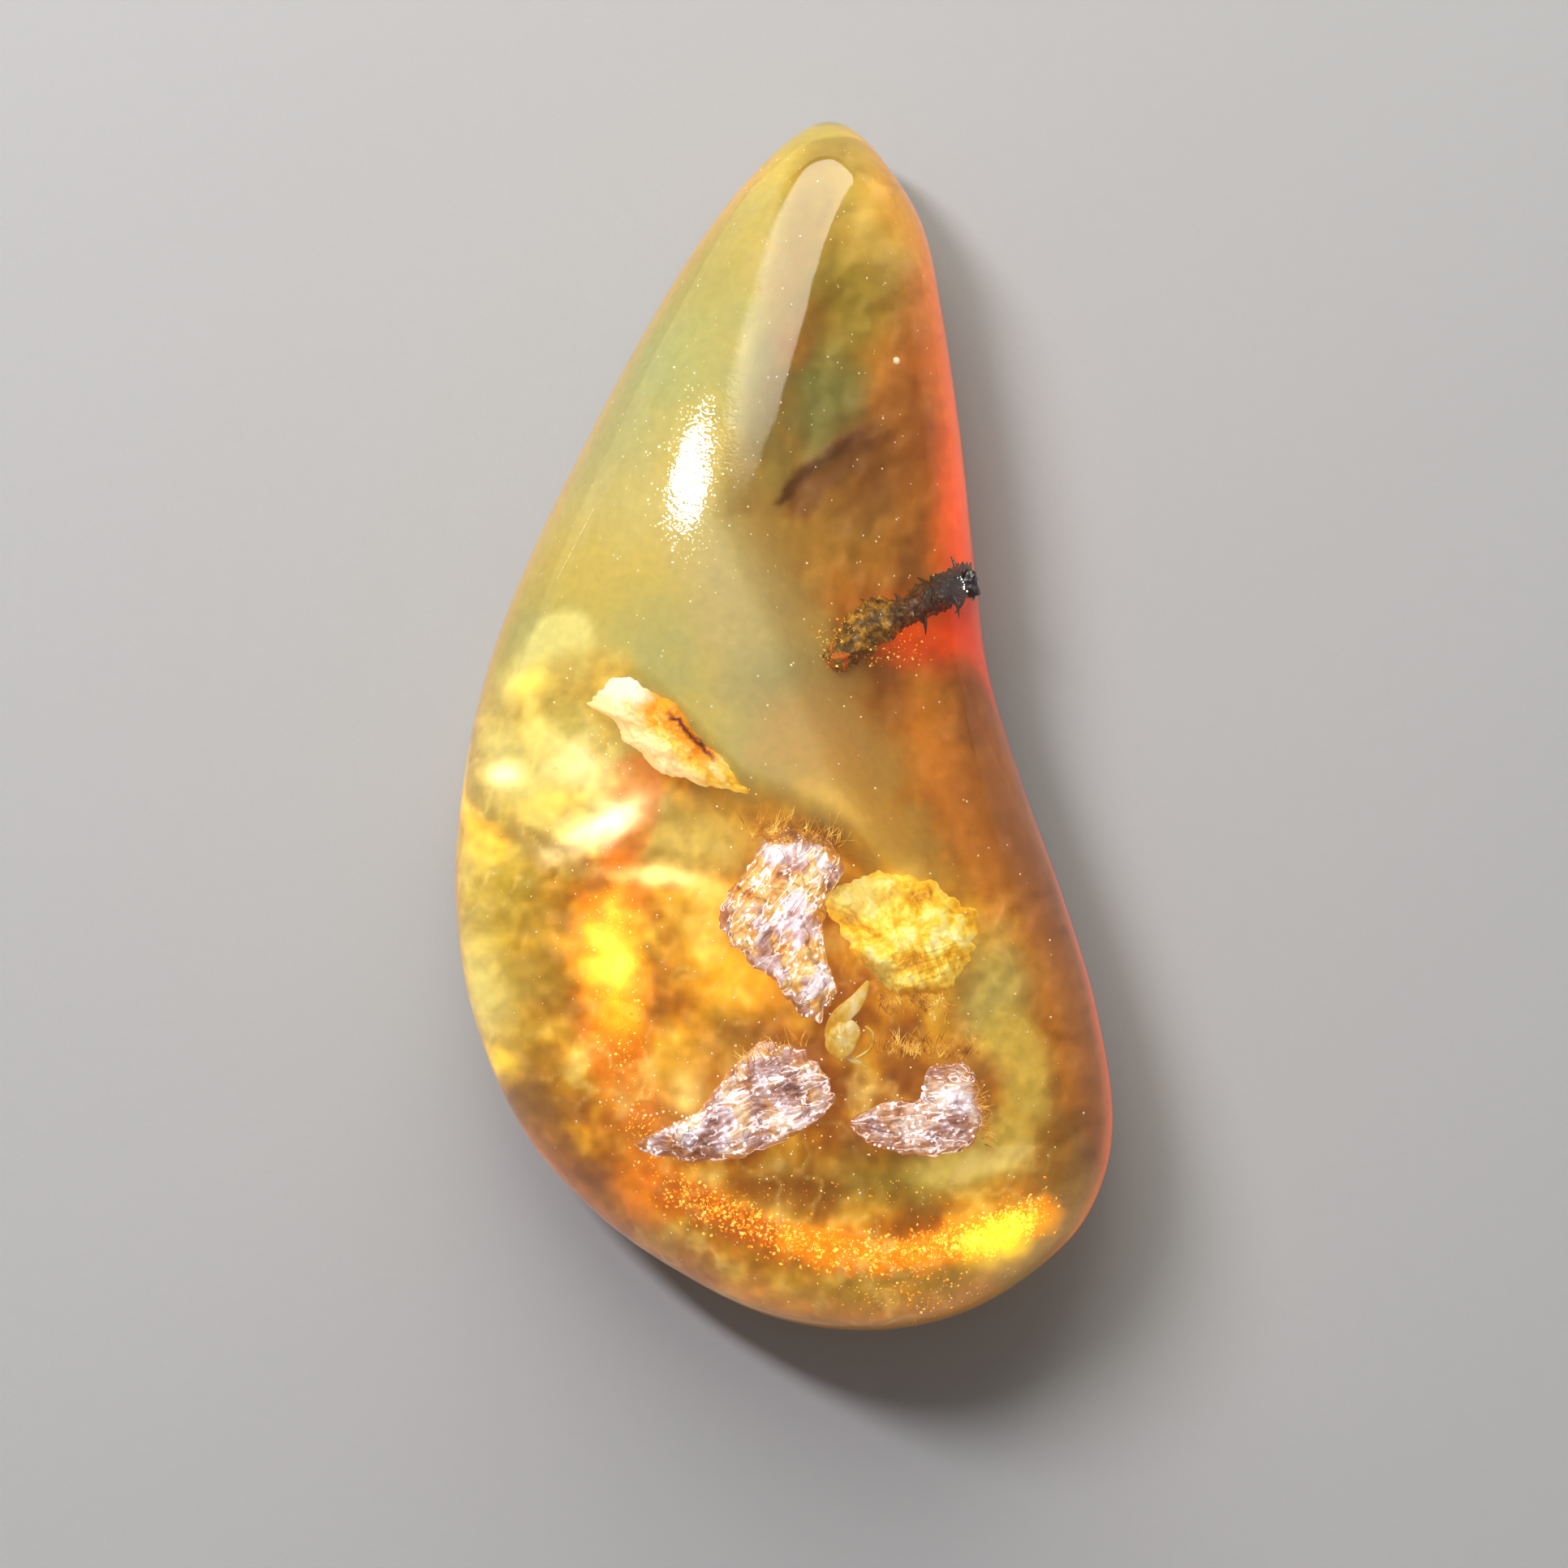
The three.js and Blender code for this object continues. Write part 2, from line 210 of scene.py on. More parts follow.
def skinFaces(rings, around):
    # faces of a closed skin: point 0, then the rings, then the last point
    i = np.arange(around)
    after = (i + 1) % around
    faces = np.stack([np.zeros(around, int), 1 + after, 1 + i], 1).tolist()
    for ring in range(rings - 1):
        here, there = 1 + ring * around, 1 + (ring + 1) * around
        faces += np.stack([here + i, here + after, there + after, there + i], 1).tolist()
    here, last = 1 + (rings - 1) * around, 1 + rings * around
    faces += np.stack([np.full(around, last), here + i, here + after], 1).tolist()
    return faces


def skin(start, rings, end):
    # rings has the shape (rings, around, 3)
    rings = np.asarray(rings, float)
    points = np.vstack([[start], rings.reshape(-1, 3), [end]])
    return points, skinFaces(rings.shape[0], rings.shape[1])


def ease(value, low, high):
    u = np.clip((np.asarray(value, float) - low) / (high - low), 0, 1)
    return u * u * (3 - 2 * u)


def unevenness(points, scale, seed, octaves=4):
    # a repeatable fractal unevenness about 0, one number for each point
    move = Vector((seed * 7.3, seed * 3.1, seed * 5.7))
    points = np.asarray(points, float)
    scaled = (points / scale).reshape(-1, 3)
    values = [noise.fractal(Vector(p) + move, 0.9, 2.1, octaves) for p in scaled]
    return np.array(values).reshape(points.shape[:-1])


def closedCurve(points, count):
    # a smooth closed curve through points, in equal steps
    points = np.asarray(points, float)
    behind, ahead, after = np.roll(points, 1, 0), np.roll(points, -1, 0), np.roll(points, -2, 0)
    u = np.linspace(0, 1, 12, endpoint=False)[None, :, None]
    p, b, a, f = (each[:, None, :] for each in (points, behind, ahead, after))
    dense = 0.5 * (2 * p + (a - b) * u + (2 * b - 5 * p + 4 * a - f) * u**2 + (3 * p - b - 3 * a + f) * u**3)
    dense = dense.reshape(-1, points.shape[1])
    return evenSteps(np.vstack([dense, dense[:1]]), count + 1)[:-1]


def openCurve(points, count):
    # a smooth curve from the first point to the last, in equal steps
    points = np.asarray(points, float)
    stations = np.arange(len(points), dtype=float)
    fine = np.linspace(0, len(points) - 1, 20 * len(points))
    dense = np.stack([through(stations, points[:, k], fine) for k in range(points.shape[1])], 1)
    return evenSteps(dense, count)


def evenSteps(dense, count):
    along = np.concatenate([[0], np.cumsum(np.linalg.norm(np.diff(dense[:, :3], axis=0), axis=1))])
    steps = np.linspace(0, along[-1], count)
    return np.stack([np.interp(steps, along, dense[:, k]) for k in range(dense.shape[1])], 1)


def tube(path, radii, around=8, flat=1.0, up=(0, 0, 1)):
    # a closed round or flattened skin along a path; flat is its height against its width
    path = np.asarray(path, float)
    ahead = np.gradient(path, axis=0)
    ahead /= np.linalg.norm(ahead, axis=1, keepdims=True)
    side = np.cross(np.asarray(up, float), ahead)
    side /= np.maximum(np.linalg.norm(side, axis=1, keepdims=True), 1e-9)
    high = np.cross(ahead, side)
    angle = 2 * np.pi * np.arange(around) / around
    radii = np.broadcast_to(np.asarray(radii, float), (len(path),))
    out = side[:, None] * np.cos(angle)[None, :, None] + flat * high[:, None] * np.sin(angle)[None, :, None]
    rings = path[:, None] + radii[:, None, None] * out
    tips = radii[[0, -1]] * 0.6
    points, faces = skin(path[0] - ahead[0] * tips[0], rings, path[-1] + ahead[-1] * tips[1])
    across = np.concatenate([[0], np.tile(np.abs(np.cos(angle)), len(path)), [0]])
    share = np.concatenate([[0], np.repeat(np.linspace(0, 1, len(path)), around), [1]])
    return points, faces, {"across": across, "along": share}


def ball(centre, radius, squash=1.0):
    points = ballPoints * radius * np.array([1, 1, squash]) + np.asarray(centre, float)
    return points, ballFaces, {}


def joined(parts):
    # many closed meshes as one
    points, faces, values, start = [], [], {}, 0
    for partPoints, partFaces, partValues in parts:
        points.append(partPoints)
        faces += [[start + i for i in face] for face in partFaces]
        for title, numbers in partValues.items():
            values.setdefault(title, []).append(numbers)
        start += len(partPoints)
    return np.vstack(points), faces, {title: np.concatenate(rows) for title, rows in values.items()}


roundMesh = bmesh.new()
bmesh.ops.create_icosphere(roundMesh, subdivisions=1, radius=1)
ballPoints = np.array([v.co[:] for v in roundMesh.verts])
ballFaces = [[v.index for v in face.verts] for face in roundMesh.faces]
roundMesh.free()


# Materials
class Wire:
    # one output of a node; sums on it add Math nodes
    def __init__(self, paint, socket):
        self.paint = paint
        self.socket = socket

    def sum(self, operation, first, second=None):
        sockets = {0: first} if second is None else {0: first, 1: second}
        return self.paint.node("Math", {"operation": operation}, sockets)

    def __add__(self, other):
        return self.sum("ADD", self, other)

    def __sub__(self, other):
        return self.sum("SUBTRACT", self, other)

    def __rsub__(self, other):
        return self.sum("SUBTRACT", other, self)

    def __mul__(self, other):
        return self.sum("MULTIPLY", self, other)

    def __truediv__(self, other):
        return self.sum("DIVIDE", self, other)

    def __pow__(self, other):
        return self.sum("POWER", self, other)

    __radd__ = __add__
    __rmul__ = __mul__


class Paint:
    # one material, or the light of one lamp, with the place in millimetres as x, y and z
    def __init__(self, name, lamp=None):
        owner = lamp or bpy.data.materials.new(name)
        owner.use_nodes = True
        self.tree = owner.node_tree
        self.tree.nodes.clear()
        if lamp:
            self.output = self.tree.nodes.new("ShaderNodeOutputLight")
            place = self.node("NewGeometry", out="Position")
        else:
            self.material = owner
            self.material.cycles.emission_sampling = "NONE"  # glowing milk is no lamp
            self.output = self.tree.nodes.new("ShaderNodeOutputMaterial")
            place = self.node("TexCoord", out="Object")
        self.place = self.node("VectorMath", {"operation": "SCALE"}, {0: place, "Scale": 1 / mm})
        self.x = self.node("SeparateXYZ", {}, {0: self.place})
        self.y = Wire(self, self.x.socket.node.outputs["Y"])
        self.z = Wire(self, self.x.socket.node.outputs["Z"])

    def node(self, kind, settings=None, sockets=None, out=0):
        made = self.tree.nodes.new("ShaderNode" + kind)
        for name, value in (settings or {}).items():
            if name == "stops":
                self.fillRamp(made.color_ramp, value)
            else:
                setattr(made, name, value)
        for name, value in (sockets or {}).items():
            if isinstance(value, Wire):
                self.tree.links.new(value.socket, made.inputs[name])
            else:
                made.inputs[name].default_value = value
        return Wire(self, made.outputs[out])

    def fillRamp(self, ramp, stops):
        while len(ramp.elements) < len(stops):
            ramp.elements.new(0.5)
        # stops hold a place and a screen colour from 0 to 255
        for element, (at, *colour) in zip(ramp.elements, stops):
            element.position = at
            element.color = (*rgb(*colour), 1)

    def colourRamp(self, value, stops):
        return self.node("ValToRGB", {"stops": stops}, {0: value})

    def absolute(self, value):
        return self.node("Math", {"operation": "ABSOLUTE"}, {0: value})

    def wave(self, value):
        return self.node("Math", {"operation": "SINE"}, {0: value})

    def mix(self, factor, first, second):
        # colours are tuples of three numbers or wires
        first, second = (each if isinstance(each, Wire) else (*each, 1) for each in (first, second))
        return self.node("Mix", {"data_type": "RGBA"}, {0: factor, 6: first, 7: second}, out=2)

    def smooth(self, value, low, high):
        # 0 below low, 1 above high, eased between them
        sockets = {0: value, 1: low, 2: high, 3: 0.0, 4: 1.0}
        return self.node("MapRange", {"interpolation_type": "SMOOTHSTEP"}, sockets)

    def noise(self, scale, detail=3.0, rough=0.55, warp=0.0, at=None):
        sockets = {"Vector": at or self.place, "Scale": scale, "Detail": detail}
        sockets.update({"Roughness": rough, "Distortion": warp})
        return self.node("TexNoise", {}, sockets)

    def grained(self, stretch, turn=0.0):
        # the place drawn out along a grain, so that a noise there looks fibrous
        sockets = {0: self.place, "Rotation": (0, 0, turn), "Scale": stretch}
        return self.node("Mapping", {"vector_type": "TEXTURE"}, sockets)

    def scaled(self, colour, value):
        return self.node("VectorMath", {"operation": "SCALE"}, {0: colour, "Scale": value})

    def value(self, title, out="Fac"):
        # a number or a colour that the mesh carries on its points
        return self.node("Attribute", {"attribute_name": title}, out=out)

    def blob(self, x, y, reachX, reachY, soft=0.5, wobble=None):
        # 1 in the middle of an ellipse and 0 outside it
        far = ((self.x - x) / reachX) ** 2.0 + ((self.y - y) / reachY) ** 2.0
        far = far ** 0.5
        if wobble is not None:
            far = far + wobble
        return 1.0 - self.smooth(far, 1 - soft, 1 + soft)

    def bump(self, height, strength, distance):
        return self.node("Bump", {}, {"Height": height, "Strength": strength, "Distance": distance * mm})

    def finish(self, sockets):
        surface = self.node("BsdfPrincipled", {}, sockets)
        self.tree.links.new(surface.socket, self.output.inputs["Surface"])
        return self.material


def rgb(red, green, blue):
    # a screen colour from 0 to 255, as the linear colour that Blender works in
    def linear(c):
        c = c / 255
        return c / 12.92 if c <= 0.04045 else ((c + 0.055) / 1.055) ** 2.4

    return (linear(red), linear(green), linear(blue))


# Studio: a pale floor, an even sky and two lamps
studio = {
    "floorSize": 1600.0,
    "floorDrop": 0.02,  # how far it lies below the drop's back
    "floorColour": (0.31, 0.307, 0.302),
    "sky": (0.93, 0.96, 1.0),
    "skyStrength": 0.26,
}

floorPaint = Paint("pale_paper")
grain = floorPaint.noise(1.2, 4.0)
floorColour = floorPaint.mix(grain, tuple(0.97 * c for c in studio["floorColour"]), studio["floorColour"])
floorMaterial = floorPaint.finish({
    "Base Color": floorColour,
    "Roughness": 0.75,
    "Normal": floorPaint.bump(floorPaint.noise(3.5, 4.0), 0.08, 0.1),
})
half = studio["floorSize"] / 2
floorMesh = bpy.data.meshes.new("floor")
corners = [(x * half, y * half, -studio["floorDrop"]) for x, y in ((-1, -1), (1, -1), (1, 1), (-1, 1))]
floorMesh.from_pydata([Vector(corner) * mm for corner in corners], [], [(0, 1, 2, 3)])
floorMesh.materials.append(floorMaterial)
floor = bpy.data.objects.new("floor", floorMesh)
bpy.context.scene.collection.objects.link(floor)

world = bpy.data.worlds.new("sky")
world.use_nodes = True
background = world.node_tree.nodes["Background"]
background.inputs["Color"].default_value = (*studio["sky"], 1)
background.inputs["Strength"].default_value = studio["skyStrength"]
bpy.context.scene.world = world


def mirrorSpot(x, y, distance):
    # where a lamp stands so that the camera sees it mirrored at one place on the drop
    spot = Vector((x, y, float(domeHeight(x, y))))
    normal = domeNormal(x, y)
    look = (spot - Vector((*shot["centre"], cameraHeight))).normalized()
    return spot + (look - 2 * look.dot(normal) * normal) * distance


def areaLamp(name, start, end, width, lamp):
    # a flat lamp from start to end that faces the drop
    middle = (start + end) / 2
    back = middle.normalized()
    along = (end - start).normalized()
    side = along.cross(back).normalized()
    along = back.cross(side)
    data = bpy.data.lights.new(name, "AREA")
    data.shape = lamp["shape"]
    data.size, data.size_y = width * mm, (end - start).length * mm
    data.energy = lamp["watts"]
    data.color = lamp["colour"]
    made = bpy.data.objects.new(name, data)
    made.matrix_world = Matrix((side, along, back)).transposed().to_4x4()
    made.location = middle * mm
    bpy.context.scene.collection.objects.link(made)
    return data


lampDistance = 300.0
lamps = {
    # the hard white glint on the left flank, from one end of it to the other
    "key": {"glint": ((-3.8, 10.1), (-3.0, 7.9)), "shape": "ELLIPSE", "width": 27.0, "watts": 0.9,
            "colour": (0.95, 0.93, 1.0)},
    # the long pale stripe down from the tip: a large screen, bright only where the drop mirrors it there
    "stripe": {
        "degrees": 40.0, "width": 400.0, "length": 440.0, "shape": "RECTANGLE",
        "watts": 3.2, "colour": (1.0, 0.97, 0.88),
        # x, y and half width of the stripe on the drop
        "seen": [(1.75, 20.3, 1.2), (0.95, 19.0, 1.2), (0.24, 17.3, 1.2), (-0.3, 15.5, 1.15),
                 (-0.8, 13.7, 1.1), (-1.15, 12.2, 1.0), (-1.4, 10.7, 0.95), (-1.6, 8.9, 0.9)],
        "top": (1.9, 20.9), "fade": ((-0.75, 14.0), (-1.8, 6.6)),
        "softLeft": 45.0, "softRight": 12.0, "softTop": 12.0,
    },
}
key, stripe = lamps["key"], lamps["stripe"]
areaLamp("key", *(mirrorSpot(*place, lampDistance) for place in key["glint"]), key["width"], key)
screenTurn = math.radians(stripe["degrees"])
screenBack = Vector((0, math.cos(screenTurn), math.sin(screenTurn)))
screenUp = Vector((0, -math.sin(screenTurn), math.cos(screenTurn)))
screen = screenBack * lampDistance


def onScreen(x, y):
    # where the camera sees the screen mirrored at one place on the drop: across and up it
    spot = mirrorSpot(x, y, 0.0)
    ray = mirrorSpot(x, y, 1.0) - spot
    hit = spot + ray * ((screen - spot).dot(screenBack) / ray.dot(screenBack))
    return hit.x, (hit - screen).dot(screenUp)


def stripeEdge(up, side):
    # how far across the screen one edge of the stripe lies, as a curve fitted to the places on the drop
    across, height = zip(*[onScreen(x + side * half, y) for x, y, half in stripe["seen"]])
    bend, slope, start = (float(value) for value in np.polyfit(height, across, 2))
    return up * up * bend + up * slope + start


def stripeLight():
    reach = screenUp * stripe["length"] / 2
    lamp = areaLamp("stripe", screen - reach, screen + reach, stripe["width"], stripe)
    paint = Paint("stripe", lamp)
    up = paint.y * screenUp.y + paint.z * screenUp.z - screen.dot(screenUp)
    left = paint.smooth(paint.x - stripeEdge(up, -1), 0.0, stripe["softLeft"])
    right = paint.smooth(stripeEdge(up, 1) - paint.x, 0.0, stripe["softRight"])
    lowest = onScreen(*stripe["top"])[1]
    top = paint.smooth(up, lowest, lowest + stripe["softTop"])
    fadeFrom, fadeTo = (onScreen(*place)[1] for place in stripe["fade"])
    fade = paint.smooth(up, fadeTo, fadeFrom)
    light = paint.node("Emission", {}, {"Strength": left * right * top * fade})
    paint.tree.links.new(light.socket, paint.output.inputs["Surface"])


stripeLight()
print("studio ready")


# The clear amber
amber = {
    "ior": 1.54,
    "roughness": 0.015,
    "absorbed": (0.975, 0.70, 0.06),
    "density": 100.0,
    "waviness": 0.010,  # how far the hand polishing is from true
    "waveSize": 2.6,
    "scuff": (-3.5, 9.1, 1.5, 4.2),  # x, y and reaches of the place with a fine grain
    "scuffDepth": 0.14,
    "notch": {"y": 5.35, "z": 6.2, "reachY": 0.42, "reachZ": 1.3, "deep": 0.3},
}


def amberSkin():
    turns = np.pi * np.arange(1, drop["rows"]) / drop["rows"]
    angles = 2 * np.pi * np.arange(drop["columns"]) / drop["columns"]
    turn, angle = np.meshgrid(turns, angles, indexing="ij")
    y = drop["halfLength"] * np.cos(turn)
    s = section(turn)
    right = np.cos(angle) > 0
    reach = np.where(right, s["reachRight"], s["reachLeft"])
    x = s["crestX"] + reach * np.cos(angle)
    full = fullness(np.abs(np.cos(angle)), right)
    top = domeHeight(x, y)
    under = np.maximum(s["belt"] - s["drop"] * full, 0)
    z = np.where(np.sin(angle) >= 0, top, under)
    notch = amber["notch"]
    bite = np.exp(-((y - notch["y"]) / notch["reachY"]) ** 2 - ((z - notch["z"]) / notch["reachZ"]) ** 2)
    x = x - notch["deep"] * bite * right
    wave = unevenness(np.stack([x, y, z], -1), amber["waveSize"], 1, 2) * amber["waviness"]
    z = z + wave * (np.sin(angle) > 0)
    return np.stack([x, y, z], -1)


amberRings = amberSkin()
tipX, endX = drop["outline"][0][1], drop["outline"][-1][1]
amberPoints, amberFaces = skin(
    (tipX, drop["halfLength"], drop["beltAtTip"]),
    amberRings,
    (endX, -drop["halfLength"], drop["beltAtTip"]),
)


def amberMaterial():
    paint = Paint("clear_amber")
    fine = paint.noise(2.2, 2.0)
    x, y, reachX, reachY = amber["scuff"]
    scuff = paint.blob(x, y, reachX, reachY, 0.9)
    resin = {"Color": (*amber["absorbed"], 1), "Density": amber["density"]}
    absorb = paint.node("VolumeAbsorption", {}, resin)
    material = paint.finish({
        "Base Color": (1, 1, 1, 1),
        "Roughness": amber["roughness"],
        "IOR": amber["ior"],
        "Transmission Weight": 1.0,
        "Normal": paint.bump(fine * 0.06 + paint.noise(7.0, 1.0) * scuff * amber["scuffDepth"], 1.0, 0.05),
    })
    paint.tree.links.new(absorb.socket, paint.output.inputs["Volume"])
    return material


addMesh("amber", amberPoints, amberFaces, amberMaterial(), ("amber_base", "amber_top"))


# The milky cloud under the polished skin
cloud = {
    "rows": 300,
    "columns": 240,  # over the top, and a third as many below
    "tipInset": 0.9,
    "endInset": 1.3,
    "leftInset": 0.4,
    "rightInset": 0.55,
    "floor": 0.5,
    "endRound": 1.6,  # how bluntly its two ends close
    "shoulder": 3.0,  # height over the belt in which it draws in to the skin
    "belly": 0.9,  # how full its underside is, against the drop's own
    "skinDepth": 0.4,  # how deep the milk starts where it is thickest
    "slopeDepth": 3.0,  # how deep it lies on the clear right slope
    "lobeDepth": 2.9,  # and round the debris in the broad end
    "lumps": 0.45,
    # share, screen colour, painted glow: emission that stands in for light through the resin
    "web": (0.4, (255, 240, 150), 0.3),  # fine pale threads in the gold
    # a painted rim of light along the left edge of the milk
    "leftRimLight": (0.6, (232, 170, 46), 0.25),
    # strength of the painted glow
    "emission": 1.0,
    # the bend of the line where the milk meets the clear right slope, and how it leans above and below it
    "fold": {"x": -1.1, "y": 7.65, "up": 0.2, "down": 0.453},
    # x, y along the ragged line below which the milk gives way to clear gold
    "lobeLine": [(-12.5, 0.6), (-9.85, 1.6), (-7.4, 2.6), (-4.6, 1.2), (-1.6, -2.0), (2.2, -3.6), (4.9, -5.6),
                 (9.0, -5.0)],
    # hazes and stains, and along the right flank painted orange light: x, y, reach across, reach along, turn
    # in degrees, softness, share, painted glow, screen colour
    "hazes": [
        (-4.3, 13.6, 1.8, 3.2, -28, 0.8, 0.8, 0.1, (178, 182, 116)),
        (-6.0, 10.6, 1.3, 2.4, -28, 0.8, 0.6, 0.1, (184, 180, 116)),
        (-2.7, 17.4, 1.3, 2.6, -30, 0.8, 0.8, 0.02, (196, 180, 88)),
        (0.6, 20.6, 1.6, 1.1, 0, 0.8, 0.8, 0.1, (220, 190, 60)),
        (3.6, 19.2, 0.9, 1.8, 15, 0.8, 0.8, 0.15, (222, 160, 10)),
        (-6.6, 5.4, 2.4, 1.8, 0, 0.8, 0.6, 0.1, (206, 184, 78)),
        (-1.2, 4.0, 2.0, 4.2, 12, 0.7, 0.8, 0.1, (200, 184, 122)),
        (0.1, 1.4, 1.9, 1.2, 0, 0.8, 0.7, 0.1, (158, 156, 104)),
        (1.2, -0.6, 2.0, 2.2, 25, 0.7, 0.8, 0.1, (208, 168, 96)),
        (3.2, -3.4, 1.0, 2.4, 35, 0.8, 0.7, 0.1, (212, 160, 66)),
        (1.3, 11.6, 1.3, 2.6, -12, 0.6, 0.9, 0.02, (130, 142, 84)),
        (2.3, 15.2, 1.1, 2.2, -8, 0.7, 0.9, 0.0, (152, 140, 44)),
        (2.9, 9.4, 1.7, 2.0, 0, 0.7, 0.6, 0.0, (150, 106, 34)),
        (1.3, 7.0, 1.7, 1.6, 0, 0.8, 0.7, 0.05, (176, 146, 62)),
        (4.9, 14.6, 0.9, 2.8, 8, 0.8, 0.8, 0.3, (224, 118, 4)),
        (4.9, 9.6, 1.0, 2.2, 4, 0.8, 0.5, 0.1, (176, 92, 20)),
        (5.9, 7.6, 0.9, 3.2, 2, 0.8, 1.0, 0.4, (250, 92, 0)),
        (6.2, 11.8, 0.7, 2.6, 6, 0.8, 0.8, 0.3, (240, 88, 0)),
        (4.7, 3.1, 2.0, 1.1, -12, 0.7, 1.0, 0.45, (252, 92, 0)),
        (6.3, 3.7, 1.2, 1.0, 0, 0.7, 1.0, 0.35, (244, 70, 0)),
        (5.8, 1.9, 1.6, 0.6, -25, 0.9, 0.45, 0.0, (140, 66, 18)),
        (7.2, -0.4, 0.8, 2.2, 22, 0.9, 0.4, 0.0, (150, 74, 20)),
        (4.9, -1.6, 0.8, 2.0, 28, 1.0, 0.4, 0.15, (222, 132, 20)),
        (8.7, -4.4, 0.9, 2.6, 20, 0.8, 0.5, 0.0, (140, 84, 22)),
        (7.1, -9.9, 1.2, 2.0, 0, 0.8, 0.9, 0.12, (196, 194, 112)),
        (4.2, -16.4, 3.6, 1.0, 6, 0.8, 0.9, 0.03, (160, 146, 52)),
        (0.2, -16.8, 1.8, 0.8, -10, 0.8, 0.8, 0.0, (168, 116, 16)),
        (6.2, -16.0, 1.7, 0.7, 10, 0.8, 0.95, 0.45, (232, 226, 122)),
        (9.6, -14.0, 1.5, 4.6, -8, 0.8, 0.7, 0.05, (180, 124, 34)),
        (3.6, -20.5, 5.0, 1.1, 6, 0.8, 0.9, 0.12, (216, 186, 76)),
        (-10.0, -6.8, 1.7, 4.2, 8, 0.9, 0.7, 0.14, (204, 196, 70)),
        (-10.3, -9.8, 0.9, 2.2, 14, 0.8, 0.9, 0.4, (240, 236, 140)),
        (-2.0, -13.5, 3.7, 1.9, 24, 0.5, 0.6, 0.08, (176, 120, 60)),
        (4.9, -13.9, 2.7, 1.6, 0, 0.5, 0.55, 0.08, (170, 118, 62)),
        (0.1, -7.2, 2.2, 3.7, 12, 0.5, 0.6, 0.08, (184, 118, 56)),
        (2.1, -13.1, 0.9, 0.6, -35, 0.8, 0.7, 0.05, (150, 70, 30)),
        (-9.0, -13.2, 1.2, 2.0, 28, 0.8, 0.7, 0.05, (168, 120, 34)),
        (-4.9, -18.2, 3.0, 0.9, -34, 0.8, 0.7, 0.1, (164, 108, 34)),
        (-3.2, -7.4, 1.4, 0.7, 10, 0.8, 0.5, 0.0, (148, 104, 30)),
        (-1.6, -11.4, 1.2, 1.0, 0, 0.8, 0.6, 0.0, (150, 118, 40)),
        (-1.6, -9.2, 1.9, 1.1, -20, 0.7, 0.8, 0.55, (255, 196, 40)),
        (-3.6, -12.0, 1.2, 1.0, 20, 0.8, 0.5, 0.4, (240, 200, 70)),
        (-4.3, -16.6, 1.0, 0.9, 0, 0.7, 0.9, 0.6, (252, 150, 10)),
        (-2.4, -4.6, 1.8, 0.9, 10, 0.8, 0.7, 0.15, (222, 196, 104)),
        (0.5, -4.6, 1.2, 0.8, 0, 0.7, 0.8, 0.0, (128, 72, 14)),
        (1.6, -11.7, 0.9, 0.6, 0, 0.8, 0.5, 0.0, (160, 110, 30)),
        (-8.0, -1.4, 2.8, 3.1, 20, 0.5, 0.95, 0.14, (222, 222, 138)),
        (-3.6, -4.0, 2.2, 1.4, -20, 0.7, 0.8, 0.12, (214, 204, 112)),
        (-8.4, -10.2, 1.4, 3.0, 12, 0.8, 0.35, 0.12, (190, 152, 40)),
        (-8.35, 2.0, 1.55, 2.1, -22, 0.2, 0.7, 0.22, (238, 230, 140)),
        (-7.4, 0.2, 0.9, 0.7, 0, 0.8, 0.4, 0.0, (186, 176, 84)),
    ],
    # painted pools of light on the milk, blurred, with painted glow; columns in the same order
    "lights": [
        (-9.15, 1.35, 0.95, 0.75, 20, 0.8, 1.0, 0.8, (255, 240, 110)),
        (-8.8, 0.55, 0.3, 0.9, 25, 0.8, 0.9, 0.6, (255, 240, 140)),
        (-9.5, -1.9, 0.75, 0.5, -10, 1.0, 1.0, 0.8, (255, 250, 200)),
        (-7.15, -1.55, 1.2, 0.85, -25, 1.0, 1.0, 0.6, (255, 246, 190)),
        (-8.3, -1.0, 1.4, 0.5, -30, 1.0, 0.6, 0.3, (250, 232, 140)),
        (-6.3, -3.7, 1.8, 0.65, 28, 1.0, 1.0, 1.4, (255, 252, 220)),
        (-8.05, -2.85, 1.2, 0.5, 8, 1.0, 0.9, 0.6, (252, 226, 110)),
        (-10.3, -4.7, 0.9, 0.5, -20, 1.0, 0.9, 0.5, (250, 220, 80)),
        (-5.95, -8.3, 1.1, 1.8, 0, 1.0, 1.0, 1.2, (255, 236, 80)),
        (-5.7, -10.6, 0.9, 1.0, 0, 1.0, 0.8, 0.6, (255, 200, 30)),
        (-4.2, -5.6, 1.9, 0.35, -6, 1.0, 0.9, 0.8, (255, 244, 170)),
        (-0.4, -8.2, 1.3, 0.8, 0, 1.0, 0.8, 0.6, (255, 214, 70)),
        (-9.9, -12.1, 1.0, 0.8, 0, 1.0, 0.9, 0.7, (255, 226, 50)),
        (-3.3, -13.4, 0.5, 0.7, 0, 1.0, 0.8, 0.6, (255, 240, 150)),
        (7.6, -18.5, 1.3, 0.65, 24, 1.0, 1.0, 1.5, (255, 226, 30)),
        (1.9, -2.9, 1.2, 0.5, -30, 1.0, 0.5, 0.3, (246, 200, 90)),
        (-2.6, -7.4, 1.6, 1.0, 20, 1.0, 0.7, 0.35, (255, 220, 90)),
    ],
    # long strokes, some of them painted light: half width, softness, share, painted glow, screen colour,
    # ridge height, x and y along them
    "strokes": {
        "film": (0.2, 0.7, 0.75, 0.0, (116, 68, 20), 0.0, [
            (0.4, 8.0), (0.9, 8.8), (1.6, 9.5), (2.4, 10.4),
        ]),
        "film edge": (0.02, 0.3, 0.8, 0.0, (92, 54, 16), 0.0, [
            (-0.21, 8.1), (0.24, 8.86), (1.3, 9.76), (2.35, 10.66),
